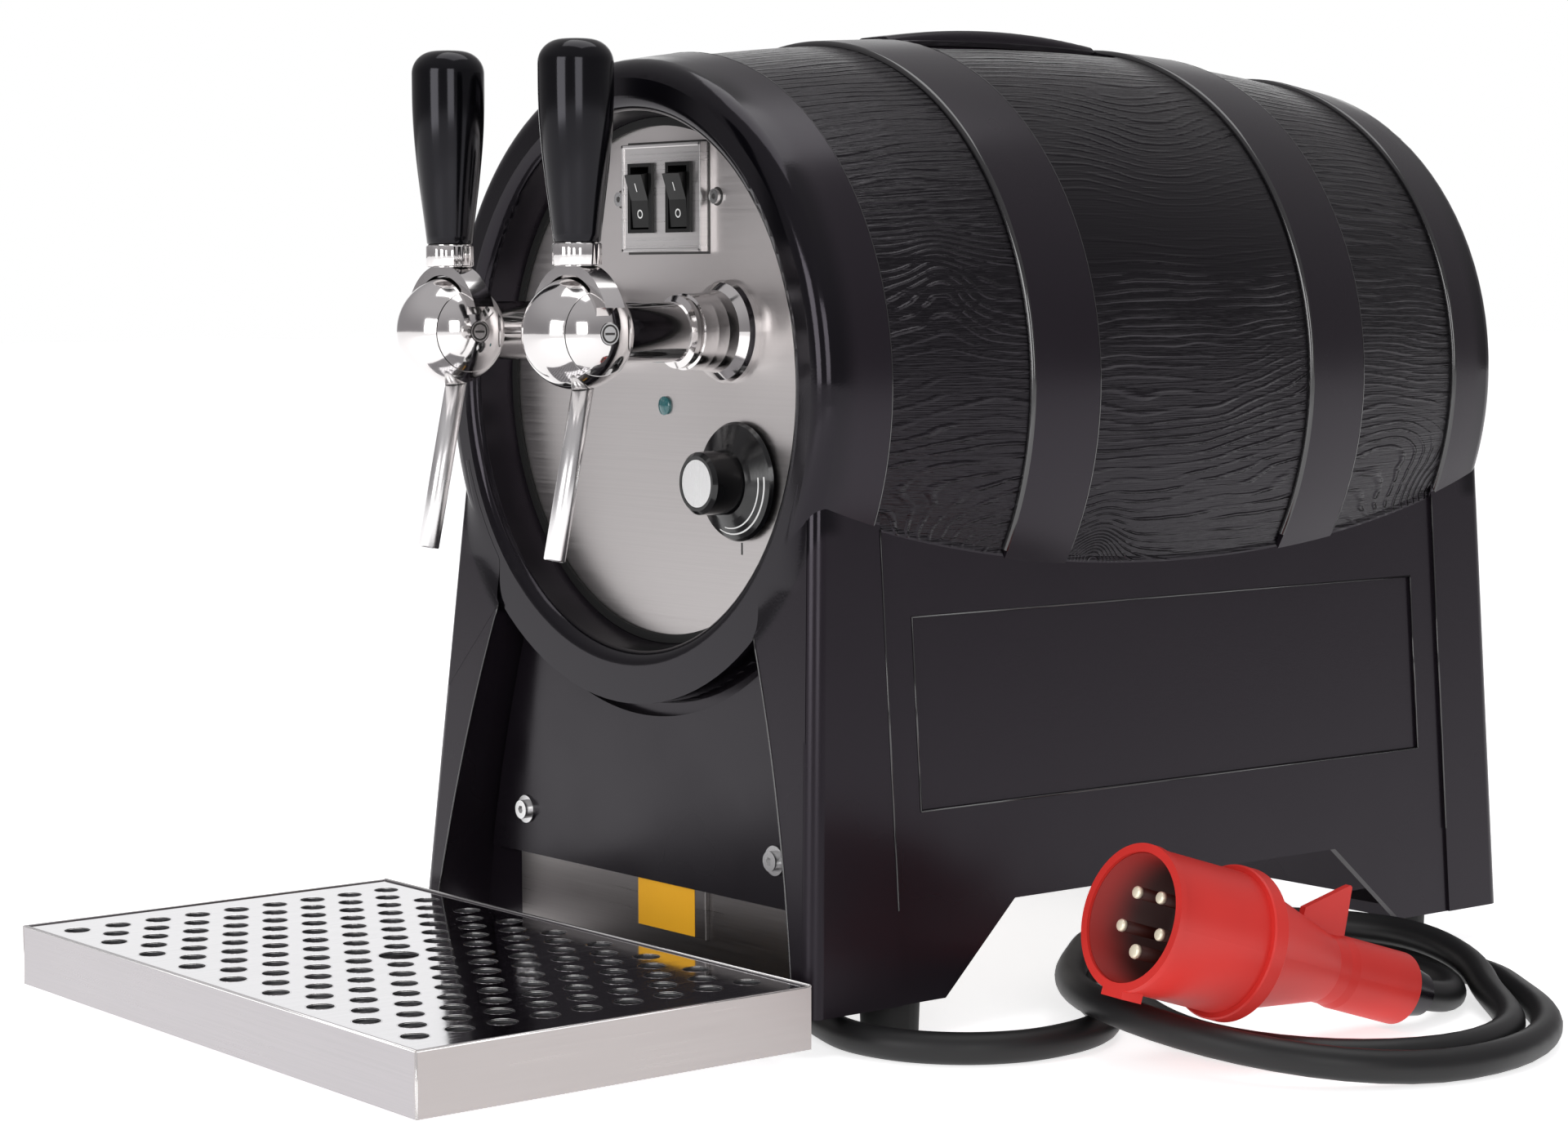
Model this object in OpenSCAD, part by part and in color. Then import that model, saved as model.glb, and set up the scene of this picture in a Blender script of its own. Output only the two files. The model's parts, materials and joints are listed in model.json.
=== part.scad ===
/* [Barrel] */
// Length of the housing from front rim to rear rim
barrel_len = 388; // [360:1:420]
// Radius over the hoops at the middle
barrel_mid_r = 145.5; // [142:0.5:149]
// Radius over the end bands at the rims
barrel_end_r = 130; // [128:0.5:131]
// Height of the barrel's axis above the table
barrel_axis_z = 255; // [250:1:262]
// How far the staves lie below the hoops
stave_drop = 2; // [1:0.5:3]
// Distance of a hoop's near edge from the middle
hoop_start = 62; // [55:1:75]
// Width of a hoop
hoop_w = 33; // [20:1:40]
// Width of a smooth end band
end_band_w = 31; // [25:1:40]
// Rounding of the rim's outer edge
rim_round = 8; // [5:1:10]
// Inner radius of the rim's lip
lip_r = 110; // [109.5:0.5:112]
// Rounding of the lip's inner edge
lip_round = 6; // [4:0.5:7]
// Wall of the moulded housing
wall = 5; // [4:0.5:6]

/* [Pedestal] */
// Width of the pedestal at its bottom edge
base_w = 275; // [270:1:280]
// Inward lean of the side walls in degrees
draft = 4.3; // [3.8:0.1:4.8]
// Reach of the front feet ahead of the rim
toe = 12; // [8:1:14]
// Lean of the legs' front faces in degrees
front_draft = 4.2; // [3.5:0.1:5]
// Height of the bottom edge, which is the height of the rubber feet
foot_h = 15; // [14:1:20]
// Rounding of the upright edges
corner_r = 6; // [3:0.5:8]
// Height of the arch in the side walls
arch_z = 50; // [46:1:52]
// Length of a front foot along the side
front_foot_len = 57; // [52:1:64]
// Length of a rear foot along the side
rear_foot_len = 66; // [60:1:74]
// Run of the arch's slanted ends
arch_run = 39; // [25:1:50]
// Half width between the legs at the bottom edge
leg_gap_low = 126; // [122:0.5:127]
// Half width between the legs at the ring
leg_gap_high = 89; // [80:1:95]
// Outward bow of a leg's inner edge
leg_bow = 4; // [2:0.5:6]
// Radius of the band round the front ring
ring_clear_r = 131.5; // [131.5:0.5:134]
// Depth of the recess between the legs
leg_recess_d = 16; // [14:0.5:18]
// Width of the plain column at each upright edge
column_w = 34; // [28:1:45]
// Depth of the side panels behind the columns
side_step = 1.2; // [0.6:0.2:1.6]
// Length of the framed field in a side panel
field_len = 290; // [240:1:300]
// Bottom of the framed field
field_z0 = 89; // [80:1:95]
// Top of the framed field
field_z1 = 165; // [150:1:172]

/* [Front plate] */
// Depth of the front plate's face behind the rim
recess_d = 21; // [18:1:24]
// Depth of the rear plate's face behind the rim
rear_recess_d = 26; // [25:1:29]
// Radius of the round plates
plate_r = 106; // [104:0.5:107]
// Thickness of the round plates
plate_t = 2; // [1.5:0.5:3]
// Thickness of the flange that carries a round plate
flange_t = 5; // [4:0.5:8]
// Width of the edge seal round the front plate
seal_w = 2; // [1.5:0.5:3]
// Width of the raised switch plate
switch_plate_w = 54; // [50:1:60]
// Height of the raised switch plate
switch_plate_h = 44; // [40:1:50]
// Depth of the raised switch plate
switch_plate_t = 4; // [3:0.5:6]
// Height of the switch plate's centre above the barrel's axis
switch_up = 75; // [70:1:77]
// Distance of the switch group to the right of the middle
switch_shift = 5; // [0:1:8]
// Distance of a rocker switch from the middle of its plate
switch_x = 13; // [11.5:0.5:15]
// Width of a switch bezel
bezel_w = 16.5; // [15:0.5:18]
// Height of a switch bezel
bezel_h = 27.5; // [26:0.5:30]
// Turn of a rocker from end to end
rocker_turn = 22; // [16:1:24]
// Drop of the pilot lamp below the barrel's axis
lamp_drop = 10; // [7:1:20]
// Distance of the pilot lamp to the right of the middle
lamp_x = 2; // [0:1:5]
// Diameter of the pilot lamp's lens
lamp_d = 7.7; // [6:0.1:10]
// Distance of the knob from the middle
knob_x = 53; // [48:1:56]
// Drop of the knob below the barrel's axis
knob_drop = 39; // [34:1:44]
// Diameter of the knob's skirt
skirt_d = 48; // [40:1:52]
// Diameter of the knob's grip
grip_d = 25; // [20:1:30]
// Reach of the knob in front of the plate
knob_reach = 23; // [18:1:26]
// Diameter of the knob's inlaid disc
disc_d = 19; // [15:0.5:20]
// Diameter of the thermostat's spindle
spindle_d = 6; // [5:0.5:8]

/* [Taps] */
// Distance of a tap from the middle
tap_x = 45; // [42:1:48]
// Height of the taps above the barrel's axis
tap_up = 21; // [16:1:26]
// Reach of the ball's centre in front of the plate
tap_reach = 74; // [70:1:80]
// Radius of the ball
ball_r = 22; // [20:0.5:24]
// Half width of the ball's fixed middle
slab_half = 14.6; // [13:0.1:15.5]
// Diameter of the shank
shank_d = 24; // [20:0.5:26]
// Bore of the shank
shank_bore_d = 14; // [13:0.5:16]
// Diameter of the flange on the plate
tap_flange_d = 41; // [36:1:46]
// Diameter of the pivot axle
axle_d = 6; // [5:0.5:8]
// Diameter of the valve stem
stem_d = 10; // [8:0.5:11]
// Travel of the valve stem
stem_travel = 4; // [3:0.5:4]
// Outer diameter of the spout
spout_d = 8.5; // [7:0.5:10]
// Bore of the spout
spout_bore_d = 6.5; // [5:0.5:8]
// Drop of the spout's mouth below the ball's centre
spout_drop = 88; // [75:1:95]
// Lean of the spout in degrees
spout_lean = 12; // [8:1:14]
// Width of the fork over the ball
fork_w = 9; // [7:0.5:12]
// Diameter of the ferrule under the handle
ferrule_d = 18; // [16:0.5:20]
// Height of the ferrule
ferrule_h = 9; // [6:0.5:12]
// Length of a tap handle
handle_len = 78.5; // [70:0.5:90]
// Diameter of a tap handle at its thick end
handle_d = 29.5; // [25:0.5:33]
// Rounding of a tap handle's top
handle_round = 10; // [6:0.5:12]

/* [Carry handle] */
// Half width of the pocket
pocket_w = 33; // [30:1:38]
// Half length of the pocket
pocket_len = 60; // [53:1:61]
// Corner radius of the pocket
pocket_r = 14; // [10:1:18]
// Height of the pocket's floor above the barrel's axis
pocket_floor = 97; // [92:1:105]
// Width of the bar
bar_w = 22; // [18:1:26]
// Height of the bar
bar_h = 14; // [12:1:17]
// Radius of the bar's upper curve
bar_curve_r = 400; // [300:5:600]
// Height of the bar's top above the barrel's widest line
bar_top = 4; // [2:0.5:8]

/* [Tray] */
// Width of the drip tray
tray_w = 300; // [290:1:320]
// Depth of the drip tray
tray_d = 175; // [165:1:190]
// Height of the drip tray
tray_h = 24.3; // [20:0.1:30]
// Sheet of the drip tray
tray_t = 1.5; // [1:0.1:2]
// Space between tray and housing
tray_gap = 22; // [20:1:26]
// Height of the tray's underside above the table
tray_z = 8; // [7:0.5:10]
// Width of the ledge under the grid
ledge_w = 4; // [3:0.5:6]
// Sheet of the grid
grid_t = 1.5; // [1:0.1:2]
// Space round the grid
grid_clear = 0.5; // [0.3:0.1:1]
// Diameter of the grid's holes
grid_hole_d = 10.5; // [8:0.5:12]
// Hole pitch from front to rear
grid_pitch = 18.5; // [17:0.5:22]
// Diameter of the finger hole
finger_hole_d = 16; // [14:0.5:20]

/* [Front panel and bracket] */
// Depth of the front panel's face behind the rim
panel_d = 11; // [10:0.5:12]
// Thickness of the front panel
panel_t = 3; // [2:0.5:3.5]
// Space round the front panel
panel_inset = 6; // [3:0.5:10]
// Height of the front panel's bottom edge
panel_z = 49; // [45:1:52]
// Distance of a panel screw from the middle
panel_screw_x = 87; // [82:1:92]
// Height of the panel screws
panel_screw_z = 68; // [62:1:72]
// Sheet of the bracket
bracket_t = 2; // [1.5:0.5:2]
// Half width of the bracket
bracket_half = 96; // [93:1:105]
// Top of the bracket's upright
bracket_z1 = 80; // [76:1:90]
// Reach of the bracket's shelf under the tray
shelf_reach = 130; // [90:1:150]

/* [Inside] */
// Radius of the heating tank
tank_r = 80; // [75:1:84]
// Length of the heating tank
tank_len = 255; // [230:1:262]
// Sheet of the heating tank
tank_t = 2; // [1.5:0.5:3]
// Distance of the heating tank behind the front rim
tank_start = 66; // [62:1:72]
// Diameter of a product tube
tube_d = 12; // [10:0.5:13]
// Wall of a product tube
tube_t = 1; // [0.8:0.1:1.5]
// Thickness of the bottom plate
bottom_t = 2; // [1.5:0.5:3]
// Height of the bottom plate's upper face
bottom_z = 60; // [58:1:62]
// Diameter of the thermostat's case
thermostat_d = 36; // [30:1:40]
// Depth of the thermostat's case
thermostat_depth = 22; // [18:1:26]
// Diameter of the heating element's flange
element_flange_d = 60; // [54:1:64]
// Diameter of the heating element's neck
element_neck_d = 44; // [40:1:48]
// Distance of the element's rods from its middle
element_rod_x = 12; // [10:0.5:13]
// Width of a tank cradle
cradle_w = 120; // [100:1:130]
// Thickness of a tank cradle
cradle_t = 20; // [12:1:25]
// Distance of a tank cradle from the tank's end
cradle_in = 40; // [30:1:60]
// Width of an inlet fitting's nut
inlet_nut_w = 22; // [20:1:24]
// Diameter of an inlet fitting's body
inlet_body_d = 16; // [14:0.5:18]
// Diameter of a hose spigot at the rear
spigot_d = 10; // [8:0.5:12]
// Length of a hose spigot
spigot_len = 20; // [16:1:20]

/* [Cable and plug] */
// Diameter of the cable
cable_d = 12.5; // [11.5:0.5:12.5]
// Lean of the plug in degrees
plug_lean = 17.5; // [16.5:0.5:19]
// Radius of the plug's shroud
shroud_r = 27.5; // [26:0.5:28]
// Wall of the plug's shroud
shroud_t = 2.5; // [2:0.5:3]
// Length of the plug's shroud
shroud_len = 46; // [43:1:50]
// Depth of the plug's mouth
mouth_d = 40; // [35:1:43]
// Length of the plug without its gland
plug_len = 140; // [136:1:144]
// Radius of the plug's ring
plug_ring_r = 30; // [29:0.5:31]
// Radius of the plug's grip
plug_grip_r = 14.5; // [13.5:0.5:15]
// Height of the plug's fin above its axis
fin_h = 34; // [30:1:36]
// Length of the plug's gland round the cable
plug_gland_len = 12; // [10:1:14]
// Length of the gland's stem inside the plug
gland_stem_len = 12; // [10:1:14]
// Diameter of the gland's stem
gland_stem_d = 18; // [16:0.5:19]
// Length of the cable gland on the machine
cable_gland_len = 28; // [24:1:28]

/* [Fits] */
// Radial clearance of turning and sliding parts
run_clear = 0.05; // [0.02:0.01:0.1]
// Clearance of parts that are put together and stay
seat_clear = 0.2; // [0.1:0.05:0.3]
// Gap between parts that pass each other
pass_gap = 0.5; // [0.3:0.1:0.8]

/* [Fasteners] */
// Head of a small screw
small_head_d = 6; // [5:0.5:7]
// Height of a small screw's head
small_head_h = 2; // [1.5:0.25:2.5]
// Thread of a small screw
small_screw_d = 3; // [2.5:0.5:3]
// Length of a switch plate's screw behind the front plate
screw_tail = 8; // [6:1:12]
// Head of a panel screw
panel_head_d = 8; // [7:0.5:9]
// Height of a panel screw's head
panel_head_h = 3.5; // [3:0.25:4]
// Thread of a panel screw
panel_screw_d = 4; // [3:0.5:4]
// Washer round a panel screw's head
panel_washer_d = 12; // [10:0.5:14]
// Thickness of that washer
panel_washer_t = 1; // [0.8:0.2:1.6]
// Hole for the wires in the bottom plate
wire_hole_d = 16; // [12:1:20]

/* [Hidden] */

$fn = 64;
overall_len = tray_d + tray_gap + barrel_len;
front_y = -overall_len / 2;
rim_y = front_y + tray_d + tray_gap;
rear_y = overall_len / 2;
mid_y = (rim_y + rear_y) / 2;
half = barrel_len / 2;
sag = barrel_mid_r - barrel_end_r;
arc_r = (half * half + sag * sag) / (2 * sag);
arc_x = barrel_mid_r - arc_r;
// centre of the rim's rounding, which touches both the rim plane and the barrel's curve
rim_cx = arc_x + sqrt(pow(arc_r - rim_round, 2) - pow(half - rim_round, 2));
rim_s = (half - rim_round) * (1 + rim_round / (arc_r - rim_round));
seal_r = plate_r + seal_w;
seat_d = recess_d + plate_t;
rear_seat_d = rear_recess_d + plate_t;
cav_y0 = rim_y + seat_d + flange_t;
cav_y1 = rear_y - rear_seat_d - flange_t;
plate_y = rim_y + recess_d;
back_y = rear_y - rear_recess_d;
lean = tan(draft);
front_lean = tan(front_draft);
switch_z = barrel_axis_z + switch_up;
lamp_z = barrel_axis_z - lamp_drop;
knob_z = barrel_axis_z - knob_drop;
tap_z = barrel_axis_z + tap_up;
function hw(z) = base_w / 2 - (z - foot_h) * lean;
leg_top_z = barrel_axis_z - sqrt(ring_clear_r * ring_clear_r - leg_gap_high * leg_gap_high);
leg_dx = leg_gap_high - leg_gap_low;
leg_dz = leg_top_z - foot_h;
leg_chord = sqrt(leg_dx * leg_dx + leg_dz * leg_dz);
leg_r = (leg_chord * leg_chord / 4 + leg_bow * leg_bow) / (2 * leg_bow);
leg_cx = (leg_gap_low + leg_gap_high) / 2 - (leg_r - leg_bow) * leg_dz / leg_chord;
leg_cz = (foot_h + leg_top_z) / 2 + (leg_r - leg_bow) * leg_dx / leg_chord;
front_foot_y = rim_y + front_foot_len;
rear_foot_y = rear_y - rear_foot_len;
ledge_t = 6;
ledge_in = 12;
pad_t = 5;
pad_in = 44;
foot_d = 24;
foot_x = base_w / 2 - 16.5;
foot_peg_d = 7;
foot_front_y = front_foot_y - 16;
foot_rear_y = rear_foot_y + 16;
shank_r = shank_d / 2;
neck_y = 26;
collar_y = tap_reach - 27.5;
flange_y = tap_reach - 16.5;
shank_tail = tap_reach + plate_t + 26;
nut_w = 34;
nut_h = 9;
cheek_in = slab_half + 0.3;
fork_in_r = ball_r + 0.7;
fork_out_r = ball_r + 5;
ferrule_z = fork_out_r - 1;
handle_z = ferrule_z + ferrule_h;
handle_top = handle_z + handle_len;
stem_front = axle_d / 2 + stem_travel + 1.5;
valve_y = neck_y + 16;
spout_s = sin(spout_lean);
spout_c = cos(spout_lean);
spout_len = (spout_drop - ball_r / 2) / spout_c;
spout_root_y = 4.5;
panel_y = rim_y + panel_d;
upright_y = panel_y + panel_t;
wall_y = rim_y + leg_recess_d;
grid_z = tray_z + tray_h - grid_t - 0.4;
grid_w = tray_w - 2 * tray_t - 2 * grid_clear;
grid_d = tray_d - 2 * tray_t - 2 * grid_clear;
grid_dx = grid_pitch * sqrt(3) / 2;
grid_cols = floor((grid_w / 2 - grid_hole_d) / grid_dx);
grid_rows = floor((grid_d / 2 - grid_hole_d * 0.75) / grid_pitch);
tank_y0 = rim_y + tank_start;
tank_y1 = tank_y0 + tank_len;
box_x0 = -86;
box_x1 = -cable_gland_len;
box_y0 = cav_y0 + 1.5;
box_y1 = box_y0 + 40;
box_z0 = 10;
gland_y = -51.5;
gland_z = 26;

// shared shapes
module along_y() {
  rotate([-90, 0, 0]) children();
}

module along_x() {
  rotate([0, 90, 0]) children();
}

// a flat outline in width and height, standing from y0 to y1
module standing(y0, y1) {
  translate([0, y1, 0]) rotate([90, 0, 0]) linear_extrude(y1 - y0) children();
}

module on_axis() {
  translate([0, mid_y, barrel_axis_z]) along_y() children();
}

module screw(d, h, stem, len) {
  // head on z 0 to h, stem below
  difference() {
    union() {
      cylinder(d = d, h = h, $fn = 24);
      translate([0, 0, -len]) cylinder(d = stem, h = len + 0.1, $fn = 24);
    }
    translate([0, 0, h - 1]) cylinder(d = d * 0.45, h = 2, $fn = 6);
  }
}

// housing outlines
module barrel_band(drop, s0, s1) {
  intersection() {
    translate([arc_x - drop, 0]) circle(r = arc_r, $fn = 720);
    translate([0, s0]) square([barrel_mid_r + 1, s1 - s0]);
  }
}

module rim_limit() {
  translate([0, -rim_s]) square([barrel_mid_r + 1, 2 * rim_s]);
  translate([0, -half]) square([rim_cx, barrel_len]);
  for (e = [-1, 1]) translate([rim_cx, e * (half - rim_round)]) circle(r = rim_round);
}

module barrel_outline() {
  intersection() {
    union() {
      barrel_band(stave_drop, -half, half);
      for (e = [0, 1]) mirror([0, e]) {
        barrel_band(0, hoop_start, hoop_start + hoop_w);
        barrel_band(0, half - end_band_w, half);
      }
    }
    rim_limit();
  }
}

module end_void(depth) {
  // the recess at the front end, as seen along the barrel
  ring = seal_r + seat_clear;
  back = -half + depth + plate_t;
  polygon([[0, -half - 1], [lip_r, -half - 1], [lip_r, -half + lip_round], [ring, -half + depth - 1.5],
    [ring, back], [plate_r - 9, back], [plate_r - 9, back + flange_t + 1], [0, back + flange_t + 1]]);
  difference() {
    translate([lip_r, -half - 1]) square([lip_round, lip_round + 1]);
    translate([lip_r + lip_round, -half + lip_round]) circle(r = lip_round, $fn = 32);
  }
}

module leg_field(inset, low) {
  difference() {
    intersection() {
      translate([leg_cx, leg_cz]) circle(r = leg_r - inset, $fn = 720);
      mirror([1, 0]) translate([leg_cx, leg_cz]) circle(r = leg_r - inset, $fn = 720);
      translate([-base_w, low]) square([2 * base_w, leg_top_z - low]);
    }
    translate([0, barrel_axis_z]) circle(r = ring_clear_r + inset, $fn = 180);
  }
}

module pedestal_section(inset, z0, z1) {
  polygon([[-hw(z0) + inset, z0], [hw(z0) - inset, z0], [hw(z1) - inset, z1], [-hw(z1) + inset, z1]]);
}

module edge_cut(y, slope) {
  // what the rounding takes off a right upright edge that faces forwards
  translate([base_w / 2, y, foot_h]) rotate([-slope, -draft, 0]) translate([0, 0, -20])
    linear_extrude(barrel_axis_z + 20) difference() {
      translate([-corner_r, -1]) square([corner_r + 1, corner_r + 1]);
      translate([-corner_r, corner_r]) circle(r = corner_r, $fn = 32);
    }
}

module side_cut(depth, y0, y1, z0, z1) {
  // a shallow field cut into the right side wall
  translate([hw(z0), y0, z0]) rotate([0, -draft, 0]) translate([-depth, 0, 0])
    cube([depth + 4, y1 - y0, (z1 - z0) / cos(draft)]);
}

module across(reach) {
  // a flat outline in depth and height, standing across the machine
  rotate([90, 0, 90]) translate([0, 0, -reach]) linear_extrude(2 * reach) children();
}

module pedestal_block() {
  // the front faces lean out towards the feet
  toe_y = rim_y - toe;
  intersection() {
    standing(toe_y - 1, rear_y) pedestal_section(0, foot_h, barrel_axis_z);
    across(base_w) polygon([[toe_y, foot_h], [rear_y + 1, foot_h], [rear_y + 1, barrel_axis_z],
      [toe_y + (barrel_axis_z - foot_h) * front_lean, barrel_axis_z]]);
  }
}

module pedestal_outer() {
  difference() {
    pedestal_block();
    for (m = [0, 1]) mirror([m, 0, 0]) {
      edge_cut(rim_y - toe, front_draft);
      translate([0, rim_y + rear_y, 0]) mirror([0, 1, 0]) edge_cut(rim_y, 0);
      side_cut(side_step, rim_y + column_w, rear_y - column_w, foot_h - 1, 210);
      side_cut(side_step + 1, mid_y - field_len / 2, mid_y + field_len / 2, field_z0, field_z1);
    }
    across(base_w / 2 + 1)
      polygon([[front_foot_y, foot_h - 1], [front_foot_y, foot_h], [front_foot_y + arch_run, arch_z],
        [rear_foot_y - arch_run, arch_z], [rear_foot_y, foot_h], [rear_foot_y, foot_h - 1]]);
    standing(rim_y - toe - 1, wall_y) leg_field(0, foot_h - 1);
    standing(rear_y - leg_recess_d, rear_y + 1) leg_field(0, foot_h - 1);
    translate([0, rim_y, barrel_axis_z]) rotate([90, 0, 0])
      cylinder(r = ring_clear_r, h = toe + 2, $fn = 180);
  }
}

module cavity() {
  on_axis() rotate_extrude($fn = 128) barrel_band(stave_drop + wall, cav_y0 - mid_y, cav_y1 - mid_y);
  standing(cav_y0, cav_y1) pedestal_section(wall + 1.5, bottom_z + ledge_t, barrel_axis_z);
  standing(cav_y0 + 10, cav_y1 - 10) pedestal_section(wall + ledge_in, bottom_z - 1, bottom_z + ledge_t + 1);
  standing(cav_y0, cav_y1) pedestal_section(wall, foot_h - 1, bottom_z);
}

module pocket_block(grow, z0, z1) {
  hx = pocket_w + grow;
  hy = pocket_len + grow;
  r = pocket_r + grow;
  translate([0, mid_y, z0]) linear_extrude(z1 - z0) {
    square([2 * hx - 2 * r, 2 * hy], center = true);
    square([2 * hx, 2 * hy - 2 * r], center = true);
    for (x = [-1, 1], y = [-1, 1]) translate([x * (hx - r), y * (hy - r)]) circle(r = r, $fn = 48);
  }
}

module foot_pads() {
  for (x = [-1, 1]) {
    for (y = [[cav_y0 - 1, front_foot_y - 1], [rear_foot_y + 1, cav_y1 + 1]])
      translate([x > 0 ? hw(foot_h) - pad_in : -hw(foot_h) + 3, y[0], foot_h])
        cube([pad_in - 3, y[1] - y[0], pad_t]);
  }
}

module at_feet() {
  for (x = [-1, 1], y = [foot_front_y, foot_rear_y]) translate([x * foot_x, y, 0]) children();
}

module housing() {
  floor_z = barrel_axis_z + pocket_floor;
  color([0.06, 0.06, 0.06]) difference() {
    union() {
      difference() {
        union() {
          on_axis() rotate_extrude($fn = 128) barrel_outline();
          pedestal_outer();
        }
        cavity();
        on_axis() rotate_extrude($fn = 128) end_void(recess_d);
        on_axis() rotate_extrude($fn = 128) mirror([0, 1]) end_void(rear_recess_d);
      }
      intersection() {
        pocket_block(wall, floor_z - wall, barrel_axis_z + barrel_mid_r);
        on_axis() rotate_extrude($fn = 128) barrel_band(stave_drop, -half / 2, half / 2);
      }
      foot_pads();
    }
    pocket_block(0, floor_z, barrel_axis_z + barrel_mid_r + 1);
    at_feet() translate([0, 0, foot_h - 1]) cylinder(d = foot_peg_d + 2 * seat_clear, h = 12, $fn = 32);
    at_panel_screws() translate([0, 0, -1])
      cylinder(d = panel_screw_d + 2 * seat_clear, h = wall + 1, $fn = 24);
    at_back_screws() translate([0, 0, -flange_t - plate_t - 1])
      cylinder(d = 3.4, h = flange_t + 2, $fn = 24);
    at_bottom_screws() translate([0, 0, -ledge_t - 1]) cylinder(d = 3.4, h = ledge_t + 3, $fn = 24);
  }
}

module at_panel_screws() {
  // z runs backwards from the wall behind the panel
  for (x = [-1, 1]) translate([x * panel_screw_x, wall_y, panel_screw_z]) along_y() children();
}

module at_back_screws() {
  // z runs out of the rear plate's face
  for (a = [30, 150, 210, 330])
    translate([0, back_y, barrel_axis_z]) rotate([0, a, 0]) translate([plate_r - 4.5, 0, 0])
      along_y() children();
}

module at_bottom_screws() {
  // z runs down from the bottom plate's lower face
  for (x = [-1, 1], y = [mid_y - 100, mid_y + 100])
    translate([x * (hw(bottom_z) - wall - ledge_in / 2), y, bottom_z - bottom_t])
      rotate([180, 0, 0]) children();
}

module carry_handle() {
  axis_z = barrel_axis_z + barrel_mid_r + bar_top - bar_curve_r;
  color([0.05, 0.05, 0.05]) intersection() {
    translate([0, mid_y, axis_z]) rotate([0, 90, 0]) rotate_extrude($fn = 180)
      difference() {
        translate([bar_curve_r - bar_h, -bar_w / 2]) square([bar_h, bar_w]);
        for (e = [0, 1]) mirror([0, e]) difference() {
          translate([bar_curve_r - 4, bar_w / 2 - 4]) square([5, 5]);
          translate([bar_curve_r - 4, bar_w / 2 - 4]) circle(r = 4, $fn = 32);
        }
      }
    translate([-bar_w, mid_y - pocket_len, barrel_axis_z + pocket_floor])
      cube([2 * bar_w, 2 * pocket_len, 80]);
  }
}

// front plate and what it carries
module at_plate(x, z) {
  // z runs forwards from the plate's face
  translate([x, plate_y, z]) rotate([90, 0, 0]) children();
}

module front_plate() {
  color([0.72, 0.71, 0.69]) difference() {
    translate([0, plate_y, barrel_axis_z]) along_y() cylinder(r = plate_r, h = plate_t, $fn = 128);
    for (x = [-1, 1]) at_plate(x * tap_x, tap_z) translate([0, 0, -plate_t - 1])
      cylinder(r = shank_r + seat_clear, h = plate_t + 2, $fn = 48);
    at_plate(lamp_x, lamp_z) translate([0, 0, -plate_t - 1])
      cylinder(d = lamp_d - 1 + 2 * seat_clear, h = plate_t + 2);
    at_plate(knob_x, knob_z) translate([0, 0, -plate_t - 1])
      cylinder(d = 10 + 2 * seat_clear, h = plate_t + 2);
    for (x = [-1, 1]) translate([switch_shift + x * switch_x, plate_y, switch_z])
      cube([bezel_w - 1, 3 * switch_plate_t, bezel_h], center = true);
    at_switch_screws() translate([0, 0, -plate_t - 1])
      cylinder(d = small_screw_d + 2 * seat_clear, h = plate_t + 2, $fn = 24);
  }
}

module plate_seal() {
  color([0.04, 0.04, 0.04]) translate([0, plate_y, barrel_axis_z]) along_y() rotate_extrude($fn = 128) {
    translate([plate_r + seat_clear / 2, -1.5]) square([seal_w - seat_clear / 2, plate_t + 1.5]);
    translate([plate_r - 1.5, -1.5]) square([2, 1.4]);
  }
}

module switch_plate() {
  rim = 1.5;
  color([0.75, 0.74, 0.72]) translate([switch_shift, plate_y - switch_plate_t, switch_z]) difference() {
    translate([-switch_plate_w / 2, 0, -switch_plate_h / 2])
      cube([switch_plate_w, switch_plate_t, switch_plate_h]);
    translate([-switch_plate_w / 2 + rim, rim, -switch_plate_h / 2 + rim])
      cube([switch_plate_w - 2 * rim, switch_plate_t, switch_plate_h - 2 * rim]);
    for (x = [-1, 1]) translate([x * switch_x, 0, 0])
      cube([bezel_w - 1, 3 * switch_plate_t, bezel_h], center = true);
  }
}

module at_switch_screws() {
  for (x = [-1, 1]) at_plate(switch_shift + x * (switch_plate_w / 2 + 5.6), switch_z)
    children();
}

module switch_plate_screws() {
  color([0.75, 0.75, 0.75]) at_switch_screws()
    screw(small_head_d, small_head_h, small_screw_d, plate_t + screw_tail);
}

// rocker switches
switch_face_y = plate_y - switch_plate_t;
pivot_y = switch_face_y + 3.5;
well_w = bezel_w - 4;
well_h = bezel_h - 2;
rocker_pin_d = 2;
module at_switch(side, y) {
  translate([switch_shift + side * switch_x, y, switch_z]) children();
}

module switch_body(side) {
  bw = bezel_w - 1 - 2 * seat_clear;
  bh = bezel_h - 2 * seat_clear;
  color([0.05, 0.05, 0.05]) at_switch(side, switch_face_y) difference() {
    union() {
      translate([-bezel_w / 2, -1.4, -bezel_h / 2 - 0.5]) cube([bezel_w, 1.4, bezel_h + 1]);
      translate([-bw / 2, -0.1, -bh / 2]) cube([bw, 24, bh]);
    }
    translate([-well_w / 2, -3, -well_h / 2]) cube([well_w, 14, well_h]);
    translate([-well_w / 2 - 1.2, pivot_y - switch_face_y, 0]) along_x()
      cylinder(d = rocker_pin_d + 2 * run_clear, h = well_w + 2.4, $fn = 24);
  }
}

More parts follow.
